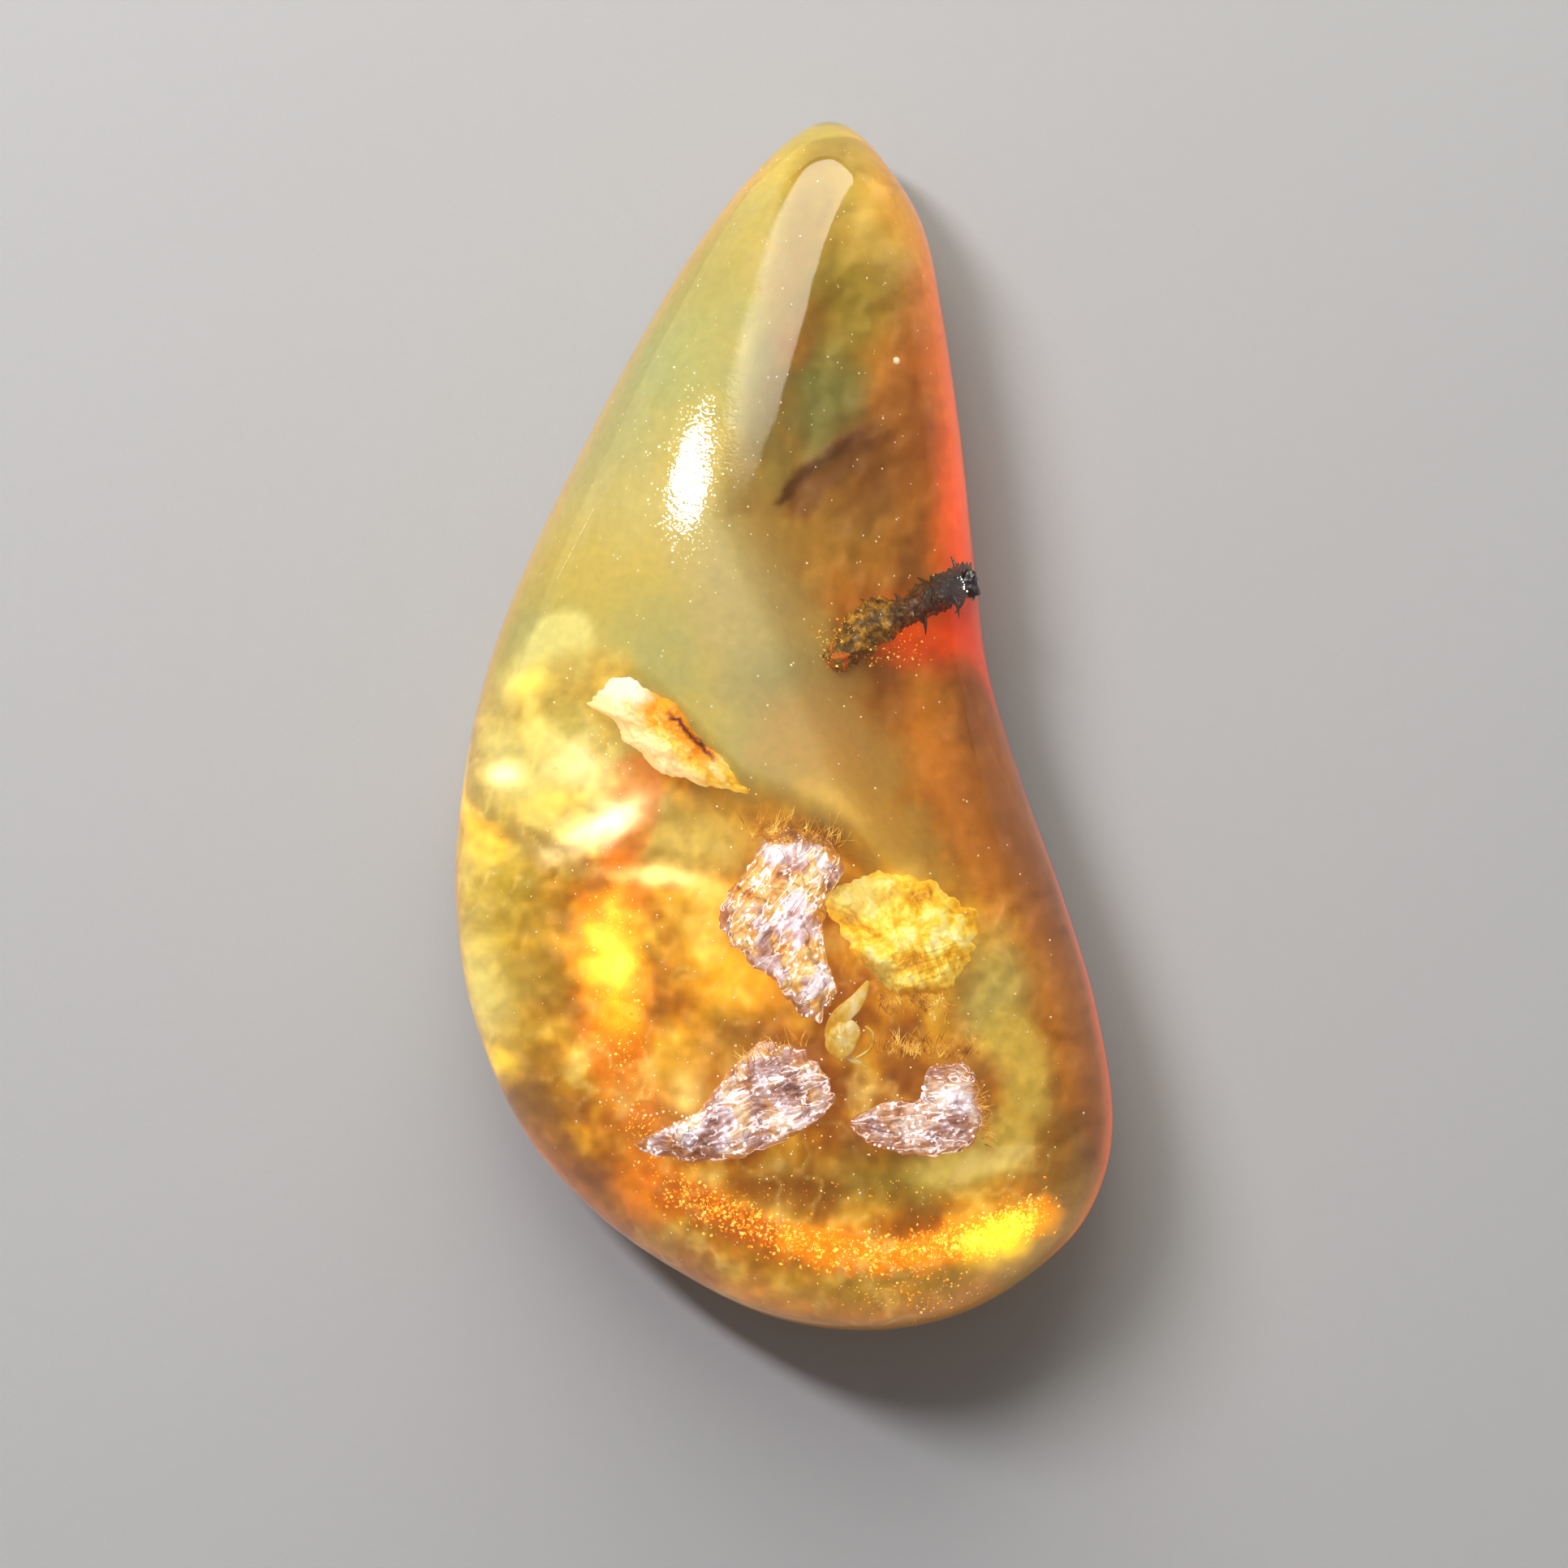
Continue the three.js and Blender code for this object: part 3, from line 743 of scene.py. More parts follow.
        ]),
        "film shade": (0.1, 1.2, 0.45, 0.0, (120, 70, 20), 0.0, [(2.6, 10.2), (2.7, 9.0), (2.3, 7.6)]),
        "dim crescent": (0.3, 0.55, 0.9, 0.25, (222, 128, 8), 0.2, [
            (-3.9, -16.6), (-1.3, -17.85), (1.05, -18.75), (3.5, -19.1),
        ]),
        "gold crescent": (0.3, 0.5, 1.0, 0.6, (252, 156, 8), 0.3, [
            (0.4, -18.5), (2.2, -19.0), (3.5, -19.1), (5.6, -18.75), (7.35, -18.3), (9.0, -17.6),
        ]),
        "orange column": (0.5, 0.6, 0.75, 0.2, (226, 140, 60), 0.0, [
            (-5.1, -1.9), (-5.3, -3.4), (-5.8, -4.9), (-6.1, -6.4),
        ]),
        "orange glow": (0.5, 1.2, 0.85, 0.35, (248, 146, 8), 0.0, [
            (-6.0, -5.8), (-6.1, -8.6), (-5.8, -11.4),
        ]),
        "low orange": (0.3, 1.2, 0.6, 0.25, (232, 136, 12), 0.0, [
            (-5.6, -12.0), (-5.2, -14.0), (-4.6, -16.2),
        ]),
        "left streak": (0.16, 0.5, 0.95, 0.7, (255, 206, 50), 0.0, [
            (-11.55, -0.9), (-11.3, -2.7), (-10.7, -3.6), (-9.8, -4.3),
        ]),
        "brown streak": (0.15, 0.7, 0.6, 0.0, (146, 106, 36), 0.0, [
            (-9.2, -4.1), (-7.8, -5.0), (-6.6, -5.7),
        ]),
        "dark lip": (0.08, 0.5, 0.3, 0.0, (140, 120, 50), 0.0, [
            (-9.9, -4.0), (-10.7, -2.4), (-10.9, -0.4),
        ]),
        "pale crescent": (0.35, 0.9, 0.75, 0.2, (222, 206, 96), 0.0, [
            (7.6, -11.4), (8.3, -12.6), (8.3, -14.0), (7.6, -15.2),
        ]),
        "pale line": (0.06, 0.5, 0.8, 0.3, (246, 232, 150), 0.0, [
            (6.2, -16.3), (6.7, -15.9), (7.4, -15.85), (8.1, -15.5),
        ]),
        "right flow": (0.25, 1.2, 0.5, 0.2, (214, 140, 34), 0.0, [
            (4.6, 1.2), (5.6, -2.4), (7.4, -6.4), (9.2, -9.4), (10.2, -13.4),
        ]),
        "outer flow": (0.2, 1.2, 0.45, 0.0, (138, 78, 16), 0.0, [
            (6.6, -2.4), (8.2, -5.6), (9.9, -8.6), (10.9, -12.0), (10.9, -15.4),
        ]),
        "low rim light": (0.25, 1.0, 0.5, 0.2, (236, 146, 34), 0.0, [
            (-8.9, -15.2), (-6.2, -18.0), (-2.8, -20.2), (1.4, -21.2), (4.6, -21.1), (7.0, -20.4),
        ]),
    },
    # y, screen colour and glow of the thin line of light that runs round the flank
    "flankLight": [
        (-22.5, 236, 140, 24, 0.35),
        (-14.0, 232, 96, 4, 0.45),
        (-8.0, 232, 78, 0, 0.55),
        (-1.0, 196, 54, 2, 0.25),
        (3.0, 236, 66, 0, 0.35),
        (9.0, 250, 92, 0, 0.45),
        (16.0, 236, 112, 0, 0.35),
        (22.5, 226, 160, 40, 0.3),
    ],
    # y and how far in it reaches there
    "flankReach": [(-22, 1.2), (-12, 1.0), (0, 0.6), (3, 1.4), (7, 1.7), (12, 1.3), (20, 0.9)],
}


def foldX(y):
    # the line where the milk ends and the clear right slope begins
    fold = cloud["fold"]
    return fold["x"] + fold["up"] * np.maximum(y - fold["y"], 0) + fold["down"] * np.maximum(fold["y"] - y, 0)


def spotShare(x, y, spot, wobble):
    # 1 in the middle of a soft turned ellipse and 0 outside it
    cx, cy, reachX, reachY, turn, soft = spot[:6]
    c, s = math.cos(math.radians(turn)), math.sin(math.radians(turn))
    u, v = c * (x - cx) + s * (y - cy), c * (y - cy) - s * (x - cx)
    far = np.hypot(u / reachX, v / reachY) + wobble
    return ease(-far, -1 - soft, -1 + soft)


def strokeShare(x, y, path, halfWidth, soft, wobble):
    # 1 along a curve and 0 away from it
    line = openCurve([(*place, 0) for place in path], 60)
    far = np.full(x.shape, np.inf)
    for cx, cy, _ in line:
        far = np.minimum(far, np.hypot(x - cx, y - cy))
    return ease(-far - wobble, -halfWidth - soft, -halfWidth)


def cloudDepth(x, y):
    slope = ease(x - foldX(y), -1.7, 1.4)
    lineX, lineY = zip(*cloud["lobeLine"])
    lobe = ease(np.interp(x, lineX, lineY) - y, -0.6, 2.2)
    depth = cloud["skinDepth"] + (cloud["lobeDepth"] - cloud["skinDepth"]) * lobe
    depth = depth + np.maximum(cloud["slopeDepth"] - depth, 0) * slope
    for halfWidth, soft, _, _, _, ridge, path in cloud["strokes"].values():
        if ridge:
            depth = depth - ridge * strokeShare(x, y, path, halfWidth, soft, 0)
    return depth, np.maximum(lobe, 0.5 * slope)


def cloudSkin():
    # the drop's own section, drawn in from the skin all round
    low, high = cloud["endInset"], cloud["tipInset"]
    spread = (2 * drop["halfLength"] - low - high) / (2 * drop["halfLength"])
    even = np.linspace(1, -1, cloud["rows"] + 1)[1:-1]
    turns = np.arccos(0.75 * even + 0.25 * np.sin(np.pi / 2 * even))
    even = np.linspace(1, -1, cloud["columns"] + 1)[:-1]
    above = np.arccos(0.6 * even + 0.4 * np.sin(np.pi / 2 * even))
    angles = np.concatenate([above, np.pi + np.linspace(0, np.pi, cloud["columns"] // 3, endpoint=False)])
    turn, angle = np.meshgrid(turns, angles, indexing="ij")
    y = -drop["halfLength"] + low + drop["halfLength"] * (np.cos(turn) + 1) * spread
    s = section(turnAt(y))
    shrink = np.clip(s["width"] / 10, 0, 1)
    closing = np.minimum(np.sqrt(np.sin(turn)) * cloud["endRound"], 1)  # draws both ends in to a point
    right = np.cos(angle) > 0
    inset = np.where(right, cloud["rightInset"], cloud["leftInset"]) * shrink
    reach = (np.where(right, s["reachRight"], s["reachLeft"]) - inset) * closing
    x = s["crestX"] + reach * np.cos(angle)
    full = fullness(np.abs(np.cos(angle)), right)
    dome = domeHeight(x, y)
    belt = s["belt"]
    depth, clear = cloudDepth(x, y)
    flat = np.stack([x, y, 0 * x], -1)
    lumps = unevenness(flat, 1.8, 3, 3) * cloud["lumps"] * clear
    depth = (depth + lumps) * np.minimum(1, np.maximum(dome - belt, 0) / cloud["shoulder"])
    top = np.maximum(dome - depth, belt)
    top = belt + (top - belt) * np.minimum(full * 2.0, 1)
    under = np.maximum(belt - s["drop"] * full * cloud["belly"], cloud["floor"])
    z = np.where(np.sin(angle) >= 0, top, under)
    return np.stack([x, y, z], -1)


def rampAt(value, stops):
    # a colour ramp as in a material, read in Python
    places = [stop[0] for stop in stops]
    colours = np.array([rgb(*stop[1:4]) for stop in stops])
    return np.stack([np.interp(value, places, channel) for channel in colours.T], -1)


def blend(share, first, second):
    return first + (np.asarray(second) - first) * np.asarray(share)[..., None]


def cloudTint(points):
    # the colour and the painted glow of the milk, one for each point; the glow is emission that stands in for
    # light through the resin
    x, y, _ = points.T
    flat = points * np.array([1, 1, 0.4])
    broad = unevenness(flat, 4.2, 21, 3)
    medium = unevenness(flat, 1.7, 22, 3)
    fine = unevenness(flat, 0.6, 23, 3)
    shapes = unevenness(flat, 1.0, 27, 2)
    threads = 1 - np.minimum(np.abs(unevenness(flat, 2.0, 24, 3)) * 6, 1)
    milk = rampAt(broad + 0.25 * medium, [
        (-0.5, 184, 178, 98),
        (-0.1, 200, 184, 88),
        (0.2, 208, 186, 92),
        (0.6, 206, 190, 108),
    ])
    gold = rampAt(medium + 0.7 * broad + 0.2 * fine, [
        (-1.0, 150, 92, 10),
        (-0.4, 190, 128, 18),
        (0.0, 218, 158, 28),
        (0.4, 236, 188, 52),
        (1.0, 252, 228, 120),
    ])
    clear = rampAt(unevenness(flat * np.array([1.0, 0.35, 1.0]), 1.4, 25, 4), [
        (-0.6, 150, 92, 20),
        (0.0, 176, 112, 26),
        (0.6, 204, 136, 34),
    ])
    s = section(turnAt(y))
    fromRight = s["left"] + s["width"] - x
    fromLeft = x - s["left"]
    slope = ease(x - foldX(y) + medium * 0.8, -0.9, 1.8) * ease(-y, -20.0, -13.0)
    lineX, lineY = zip(*cloud["lobeLine"])
    lobe = ease(np.interp(x, lineX, lineY) - y + medium * 1.4, -0.8, 3.0)
    lobe = lobe * ease(fromRight, 2.0, 4.6)
    colour = blend(slope, milk, clear)
    colour = blend(lobe, colour, gold)
    # painted glow, stronger over the gold lobe
    glow = 0.08 + lobe * (0.10 + 0.3 * np.clip(medium + 0.4 * fine, 0, 1))

    def lay(share, screen, light):
        nonlocal colour, glow
        colour = blend(share, colour, rgb(*screen))
        glow = glow * (1 - share) + light * share

    for haze in cloud["hazes"]:
        share, light, screen = haze[6:]
        lay(share * spotShare(x, y, haze, 0.3 * medium), screen, light)
    for halfWidth, soft, share, light, screen, _, path in cloud["strokes"].values():
        lay(share * strokeShare(x, y, path, halfWidth, soft, (0.1 + 0.15 * soft) * fine), screen, light)
    web = lobe * threads**2 * np.clip(0.5 + broad * 2 + shapes, 0, 1)
    webShare, webColour, webGlow = cloud["web"]
    lay(web * webShare, webColour, webGlow)
    for spot in cloud["lights"]:
        share, light, screen = spot[6:]
        lay(share * spotShare(x, y, spot, 0.4 * shapes) ** 2, screen, light)
    # painted light: an orange line of light along the right flank
    edge = rampAt(y, cloud["flankLight"])
    light = np.interp(y, *np.array(cloud["flankLight"])[:, [0, -1]].T)
    reach = np.interp(y, *zip(*cloud["flankReach"]))
    side = ease(-fromRight / reach, -1.5, -0.5)
    colour = colour + (edge - colour) * side[:, None]
    glow = glow + (light - glow) * side
    # painted rim of light along the left edge
    rimShare, rimColour, rimGlow = cloud["leftRimLight"]
    lay(rimShare * ease(-fromLeft, -0.9, -0.3), rimColour, rimGlow)
    wool = 1 + (0.03 + 0.12 * lobe) * unevenness(flat, 0.5, 26, 2)
    return colour * wool[:, None], np.clip(glow * wool, 0, 2)


def cloudMaterial():
    paint = Paint("milky_amber")
    tint = paint.scaled(paint.value("tint", out="Color"), 0.88 + paint.noise(2.6, 1.0) * 0.24)
    return paint.finish({
        "Base Color": tint,
        "Roughness": 0.55,
        # painted glow: the milk shines by emission, though it is no lamp
        "Emission Color": paint.scaled(tint, paint.value("glow")),
        "Emission Strength": cloud["emission"],
    })


cloudRings = cloudSkin()
cloudPoints, cloudFaces = skin(cloudRings[0].mean(0), cloudRings, cloudRings[-1].mean(0))
cloudColours, cloudGlow = cloudTint(cloudPoints)
addMesh("milky_cloud", cloudPoints, cloudFaces, cloudMaterial(),
        values={"tint": cloudColours, "glow": cloudGlow})


# Flat lumps of debris, each with its own outline, clockwise from above
def lumpBody(share):
    # how thick a lump is, from its middle at 0 to its edge at 1
    return (1 - share**3) ** 0.6


def lump(piece):
    around, steps = piece["around"], piece["steps"]
    edge = closedCurve(piece["outline"], around)
    centre = edge.mean(0)
    ragged = piece.get("ragged", 0.0)
    amberLitRim = unevenness(np.column_stack([edge, np.zeros(around)]), 0.5, piece["seed"] + 1, 3)
    edge = centre + (edge - centre) * (1 + ragged * amberLitRim)[:, None]
    shares = np.sin(np.linspace(0, 1, steps + 1)[1:] * np.pi / 2)
    share = np.concatenate([shares, shares[-2::-1]])
    side = np.concatenate([np.ones(steps - 1), [0], -np.ones(steps - 1)])
    xy = centre + (edge[None] - centre) * share[:, None, None]
    body = lumpBody(share)
    thick = piece["thick"]
    flatXY = np.concatenate([xy, np.zeros((*xy.shape[:2], 1))], -1)
    relief = piece["relief"](flatXY, piece) * np.minimum(body * 2.0, 1)[:, None]
    middle = domeHeight(xy[..., 0], xy[..., 1]) - piece["depth"] - thick / 2
    z = middle + side[:, None] * (thick / 2 * body)[:, None] + relief * np.where(side[:, None] < 0, 0.3, 1)
    rings = np.dstack([xy, z])
    points, faces = skin(rings[0].mean(0), rings, rings[-1].mean(0))
    spread = np.concatenate([[0], np.repeat(share, around), [0]])
    height = np.concatenate([[0], relief.reshape(-1), [0]])
    return points, faces, {"share": spread, "height": height}


def lumpy(places, piece):
    return piece["bumps"] * unevenness(places, piece["bumpSize"], piece["seed"], 5)


def fibrous(places, piece):
    # ridges drawn out along the grain, over broader lumps
    angle = piece["grain"]
    c, s = math.cos(angle), math.sin(angle)
    turned = places @ np.array([[c, -s, 0], [s, c, 0], [0, 0, 1]])
    bent = turned + 0.25 * unevenness(places, 1.3, piece["seed"] + 6, 2)[..., None]
    ridges = 1 - 2 * np.abs(unevenness(bent * np.array([0.4, 1.5, 1]), piece["bumpSize"], piece["seed"], 2))
    beads = unevenness(turned, 0.2, piece["seed"] + 4, 2)
    broad = unevenness(places, 1.2, piece["seed"] + 2, 3)
    return piece["bumps"] * (0.4 * ridges + 0.2 * beads + 0.9 * broad)


lumps = {
    "pale_chip_detail": {
        "replaces": "pale_chip", "slot": "pale_chip", "relief": lumpy,
        "outline": [(-7.0, 0.7), (-6.5, 1.45), (-5.9, 2.0), (-5.1, 1.65), (-4.3, 1.35), (-3.6, 0.6),
                    (-3.1, -0.1), (-2.5, -0.9), (-1.8, -1.5), (-1.1, -2.4), (-1.6, -2.5), (-2.6, -2.3),
                    (-3.6, -2.05), (-4.5, -1.75), (-5.2, -1.1), (-5.9, -0.5), (-6.2, 0.2)],
        "depth": 0.45, "thick": 1.5, "bumps": 0.3, "bumpSize": 0.75, "seed": 1.2, "ragged": 0.09,
        "around": 220, "steps": 50,
    },
    "yellow_chip_detail": {
        "replaces": "yellow_chip", "slot": "yellow_chip", "relief": lumpy,
        "outline": [(1.5, -6.5), (2.4, -5.8), (3.6, -5.5), (5.2, -6.0), (6.6, -7.0), (6.6, -8.4), (5.6, -9.8),
                    (4.2, -10.0), (3.0, -9.0), (2.1, -7.7)],
        "depth": 0.5, "thick": 2.4, "bumps": 0.34, "bumpSize": 0.75, "seed": 4.1, "ragged": 0.12,
        "around": 220, "steps": 50,
    },
    "bark_knot_detail": {
        "replaces": "bark_knot", "slot": "bark", "relief": fibrous, "grain": 0.9,
        "outline": [(-0.4, -4.0), (1.2, -4.1), (2.2, -5.2), (1.5, -6.6), (1.5, -8.4), (1.9, -9.9),
                    (1.0, -10.9), (-0.1, -9.6), (-1.4, -8.4), (-2.4, -7.0), (-1.4, -5.4)],
        "depth": 0.22, "thick": 1.3, "bumps": 0.26, "bumpSize": 0.5, "seed": 2.6, "ragged": 0.09,
        "around": 240, "steps": 60,
    },
    "left_bark_flake_detail": {
        "replaces": "left_bark_flake", "slot": "bark", "relief": fibrous, "grain": 0.35,
        "outline": [(-5.3, -15.4), (-4.2, -14.6), (-3.0, -14.0), (-2.2, -12.9), (-0.9, -11.6), (0.4, -11.7),
                    (1.4, -12.6), (1.9, -13.5), (1.3, -14.3), (-0.4, -15.3), (-2.6, -15.9)],
        "depth": 0.2, "thick": 1.1, "bumps": 0.24, "bumpSize": 0.42, "seed": 5.7, "ragged": 0.07,
        "around": 260, "steps": 60,
    },
    "right_bark_flake_detail": {
        "replaces": "right_bark_flake", "slot": "bark", "relief": fibrous, "grain": 0.02,
        "outline": [(2.6, -14.2), (3.8, -13.7), (4.9, -13.6), (5.2, -12.6), (6.6, -12.4), (7.1, -13.8),
                    (6.9, -15.2), (5.4, -15.7), (3.8, -15.5), (2.7, -15.0)],
        "depth": 0.2, "thick": 1.1, "bumps": 0.24, "bumpSize": 0.42, "seed": 7.9, "ragged": 0.07,
        "around": 260, "steps": 60,
    },
}


def barkMaterial(name, grain, amberShare):
    # wet fibrous bark: rosy brown, with painted shade in the furrows, a painted violet white sheen on the
    # raised parts and in ripples along the grain, painted amber light in patches and round the rim, and a
    # painted glow
    paint = Paint(name)
    fibres = paint.noise(1.3, 3.0, 0.5, 0.6, at=paint.grained((1.9, 0.55, 0.6), grain))
    grains = paint.noise(5.0, 2.0, 0.6)
    broad = paint.noise(0.8, 3.0, 0.55, 0.3)
    crease = paint.absolute(paint.noise(0.75, 2.0, 0.5, 0.8) - 0.5)
    crease = paint.smooth(crease, 0.03, 0.008)
    # raised parts lighter, up to violet white: painted highlight on the tops
    tone = fibres * 0.3 + broad * 0.5 + grains * 0.2 + paint.value("height") * 1.1 + 0.09
    colour = paint.colourRamp(tone, [
        (0.28, 84, 44, 36),
        (0.42, 150, 98, 80),
        (0.54, 188, 142, 128),
        (0.64, 220, 192, 196),
        (0.76, 250, 242, 252),
    ])
    # painted amber light in patches and round the rim
    amberLit = paint.smooth(paint.noise(0.9, 2.0), 0.44, 0.56) * amberShare
    amberTone = paint.colourRamp(tone, [(0.3, 130, 66, 14), (0.5, 222, 144, 36), (0.75, 255, 214, 110)])
    colour = paint.mix(amberLit, colour, amberTone)
    amberLitRim = paint.smooth(paint.value("share"), 0.82, 1.0)
    colour = paint.mix(amberLitRim * 0.6, colour, rgb(196, 124, 44))
    # painted shade in the furrows
    colour = paint.mix(crease * 0.4, colour, rgb(90, 44, 36))
    # painted violet white sheen in ripples along the grain
    sheenRipple = paint.absolute(fibres - 0.52)
    sheenRipple = paint.smooth(sheenRipple, 0.035, 0.008) * paint.smooth(broad + grains * 0.3, 0.5, 0.63)
    colour = paint.mix(sheenRipple, colour, rgb(255, 248, 255))
    return paint.finish({
        "Base Color": colour,
        "Roughness": 0.3,
        "Coat Weight": 1.0,
        "Coat Roughness": 0.1,
        # painted glow, strongest on the sheen ripples
        "Emission Color": paint.scaled(colour, sheenRipple * 0.4 + 0.22),
        "Emission Strength": 1.0,
        "Normal": paint.bump(fibres + grains * 0.4 - crease * 0.2, 0.7, 0.1),
    })


def paleChipMaterial():
    paint = Paint("pale_wood_chip")
    fine = paint.noise(1.7, 4.0, 0.64, 0.4)
    fibres = paint.noise(2.0, 3.0, 0.6, at=paint.grained((1.8, 0.5, 1.0), -0.78))
    # raised parts lighter: painted highlight on the tops
    colour = paint.colourRamp(fine * 0.5 + fibres * 0.5 + paint.value("height") * 0.35, [
        (0.26, 206, 132, 14),
        (0.38, 248, 186, 34),
        (0.48, 255, 218, 84),
        (0.60, 255, 240, 160),
        (0.76, 255, 253, 230),
    ])
    wobble = (fine - 0.5) * 1.2
    honey = paint.blob(-4.3, 0.75, 1.25, 0.75, 0.6, wobble)
    colour = paint.mix(honey * 0.9, colour, rgb(255, 166, 6))
    acrossGrain = paint.x * 0.72 + paint.y * 0.70
    alongGrain = paint.x * 0.70 - paint.y * 0.72
    streak = paint.absolute(acrossGrain + 2.72 + wobble * 0.5)
    reach = paint.smooth(alongGrain, -3.5, -2.9) * paint.smooth(alongGrain, -0.5, -1.2)
    colour = paint.mix(paint.smooth(streak, 0.75, 0.3) * reach, colour, rgb(250, 158, 8))
    colour = paint.mix(paint.smooth(acrossGrain + wobble * 0.5, -3.4, -3.9) * 0.6, colour, rgb(255, 246, 206))
    colour = paint.mix(paint.smooth(streak, 0.2, 0.02) * reach, colour, rgb(112, 32, 4))
    crown = paint.blob(-5.8, 1.5, 1.0, 0.7, 0.5, wobble)
    colour = paint.mix(crown, colour, rgb(255, 254, 246))
    return paint.finish({
        "Base Color": colour,
        "Roughness": 0.4,
        "Coat Weight": 0.5,
        # painted glow: the chip shines by emission
        "Emission Color": colour,
        "Emission Strength": 0.3,
        "Normal": paint.bump(fine * 0.5 + fibres * 0.5, 0.8, 0.14),
    })


def yellowChipMaterial():
    paint = Paint("yellow_pith")
    fine = paint.noise(1.2, 4.0, 0.6, 0.4)
    # raised parts lighter: painted highlight on the tops
    colour = paint.colourRamp(fine + paint.value("height") * 0.4, [
        (0.26, 190, 132, 14),
        (0.38, 234, 178, 30),
        (0.48, 250, 208, 56),
        (0.58, 255, 232, 100),
        (0.70, 255, 248, 170),
    ])
    wobble = (fine - 0.5) * 1.6
    grey = paint.blob(2.6, -6.2, 1.2, 0.7, 0.6, wobble)
    colour = paint.mix(grey * 0.6, colour, rgb(196, 184, 110))
    greyLow = paint.blob(3.3, -9.2, 0.8, 0.7, 0.6, wobble)
    colour = paint.mix(greyLow * 0.6, colour, rgb(150, 136, 84))
    # rows of cells, like a ladder, at the lower right
    across = paint.wave((paint.x * 0.95 + paint.y * 0.3 + wobble * 0.1) * 17.0)
    along = paint.wave((paint.y * 0.95 - paint.x * 0.3 + wobble * 0.1) * 21.0)
    walls = paint.smooth(across, 0.0, 1.0) + paint.smooth(along, 0.4, 1.0) * 0.5
    walls = walls * paint.blob(5.4, -8.8, 1.3, 1.0, 0.6, wobble * 0.8)
    colour = paint.mix(walls * 0.4, colour, rgb(206, 134, 14))
    # darker brown along the chip's lower edge
    under = paint.blob(4.6, -10.0, 1.5, 0.4, 0.6, wobble)
    colour = paint.mix(under * 0.7, colour, rgb(160, 98, 18))
    return paint.finish({
        "Base Color": colour,
        "Roughness": 0.5,
        "Coat Weight": 0.4,
        # painted glow: the chip shines by emission
        "Emission Color": colour,
        "Emission Strength": 0.4,
        "Normal": paint.bump(fine - walls * 0.4, 0.9, 0.16),
    })


lumpMaterials = {
    "pale_chip_detail": paleChipMaterial(),
    "yellow_chip_detail": yellowChipMaterial(),
    "bark_knot_detail": barkMaterial("bark_knot_fibres", 0.9, 0.9),
    "left_bark_flake_detail": barkMaterial("left_bark_fibres", 0.35, 0.6),
    "right_bark_flake_detail": barkMaterial("right_bark_fibres", 0.02, 0.4),
}
for name, piece in lumps.items():
    points, faces, values = lump(piece)
    addMesh(name, points, faces, lumpMaterials[name], (piece["replaces"],), values=values)


# The dark twig that runs in from the drop's side
twig = {
    # x, y, how far its top lies under the skin, radius
    "line": [(6.9, 5.2, 0.1, 0.5), (6.1, 5.3, 0.85, 0.72), (5.1, 4.7, 0.95, 0.62), (4.2, 4.2, 0.95, 0.55),
             (3.1, 3.8, 1.2, 0.85), (2.2, 3.0, 1.35, 0.72), (1.6, 2.1, 1.3, 0.4)],
    "around": 72,
    "steps": 170,
    # share of its length, degrees round it, length
    "spines": [(0.1, -75, 0.95), (0.17, 80, 0.6), (0.25, -70, 1.0), (0.33, 95, 0.6), (0.42, -95, 0.8),
               (0.5, 70, 0.45), (0.58, -80, 0.5), (0.66, 100, 0.6), (0.76, -70, 0.45), (0.85, 85, 0.5)],
    "spineRadius": 0.17,
    "bark": 0.16,
}


def twigParts():
    line = openCurve(twig["line"], twig["steps"])
    x, y, under, radius = line.T
    path = np.stack([x, y, domeHeight(x, y) - under - radius], 1)
    points, faces, values = tube(path, radius, twig["around"])
    axis = np.vstack([path[:1], np.repeat(path, twig["around"], 0), path[-1:]])
    out = points - axis
    reach = np.maximum(np.linalg.norm(out, axis=1, keepdims=True), 1e-6)
    rough = unevenness(points, 0.55, 9, 5)
    ragged = np.maximum(unevenness(points, 0.22, 12, 2), 0)
    points = points + out / reach * (twig["bark"] * (rough + 1.2 * ragged) - 0.03)[:, None]
    parts = [(points, faces, {"along": values["along"]})]
    ahead = np.gradient(path, axis=0)
    for share, degrees, long in twig["spines"]:
        k = int(share * (len(path) - 1))
        forward = ahead[k] / np.linalg.norm(ahead[k])
        side = np.cross((0, 0, 1), forward)
        side /= np.linalg.norm(side)
        high = np.cross(forward, side)
        angle = math.radians(90 + degrees)
        outward = math.cos(angle) * side + math.sin(angle) * high
        u = np.linspace(0, 1, 10)[:, None]
        hook = path[k] + outward * (radius[k] * 0.6 + long * u) + forward * (0.35 * long * u**2)
        spine, spineFaces, _ = tube(hook, twig["spineRadius"] * (1 - 0.9 * u[:, 0]), 8)
        parts.append((spine, spineFaces, {"along": np.full(len(spine), share)}))
    return joined(parts)


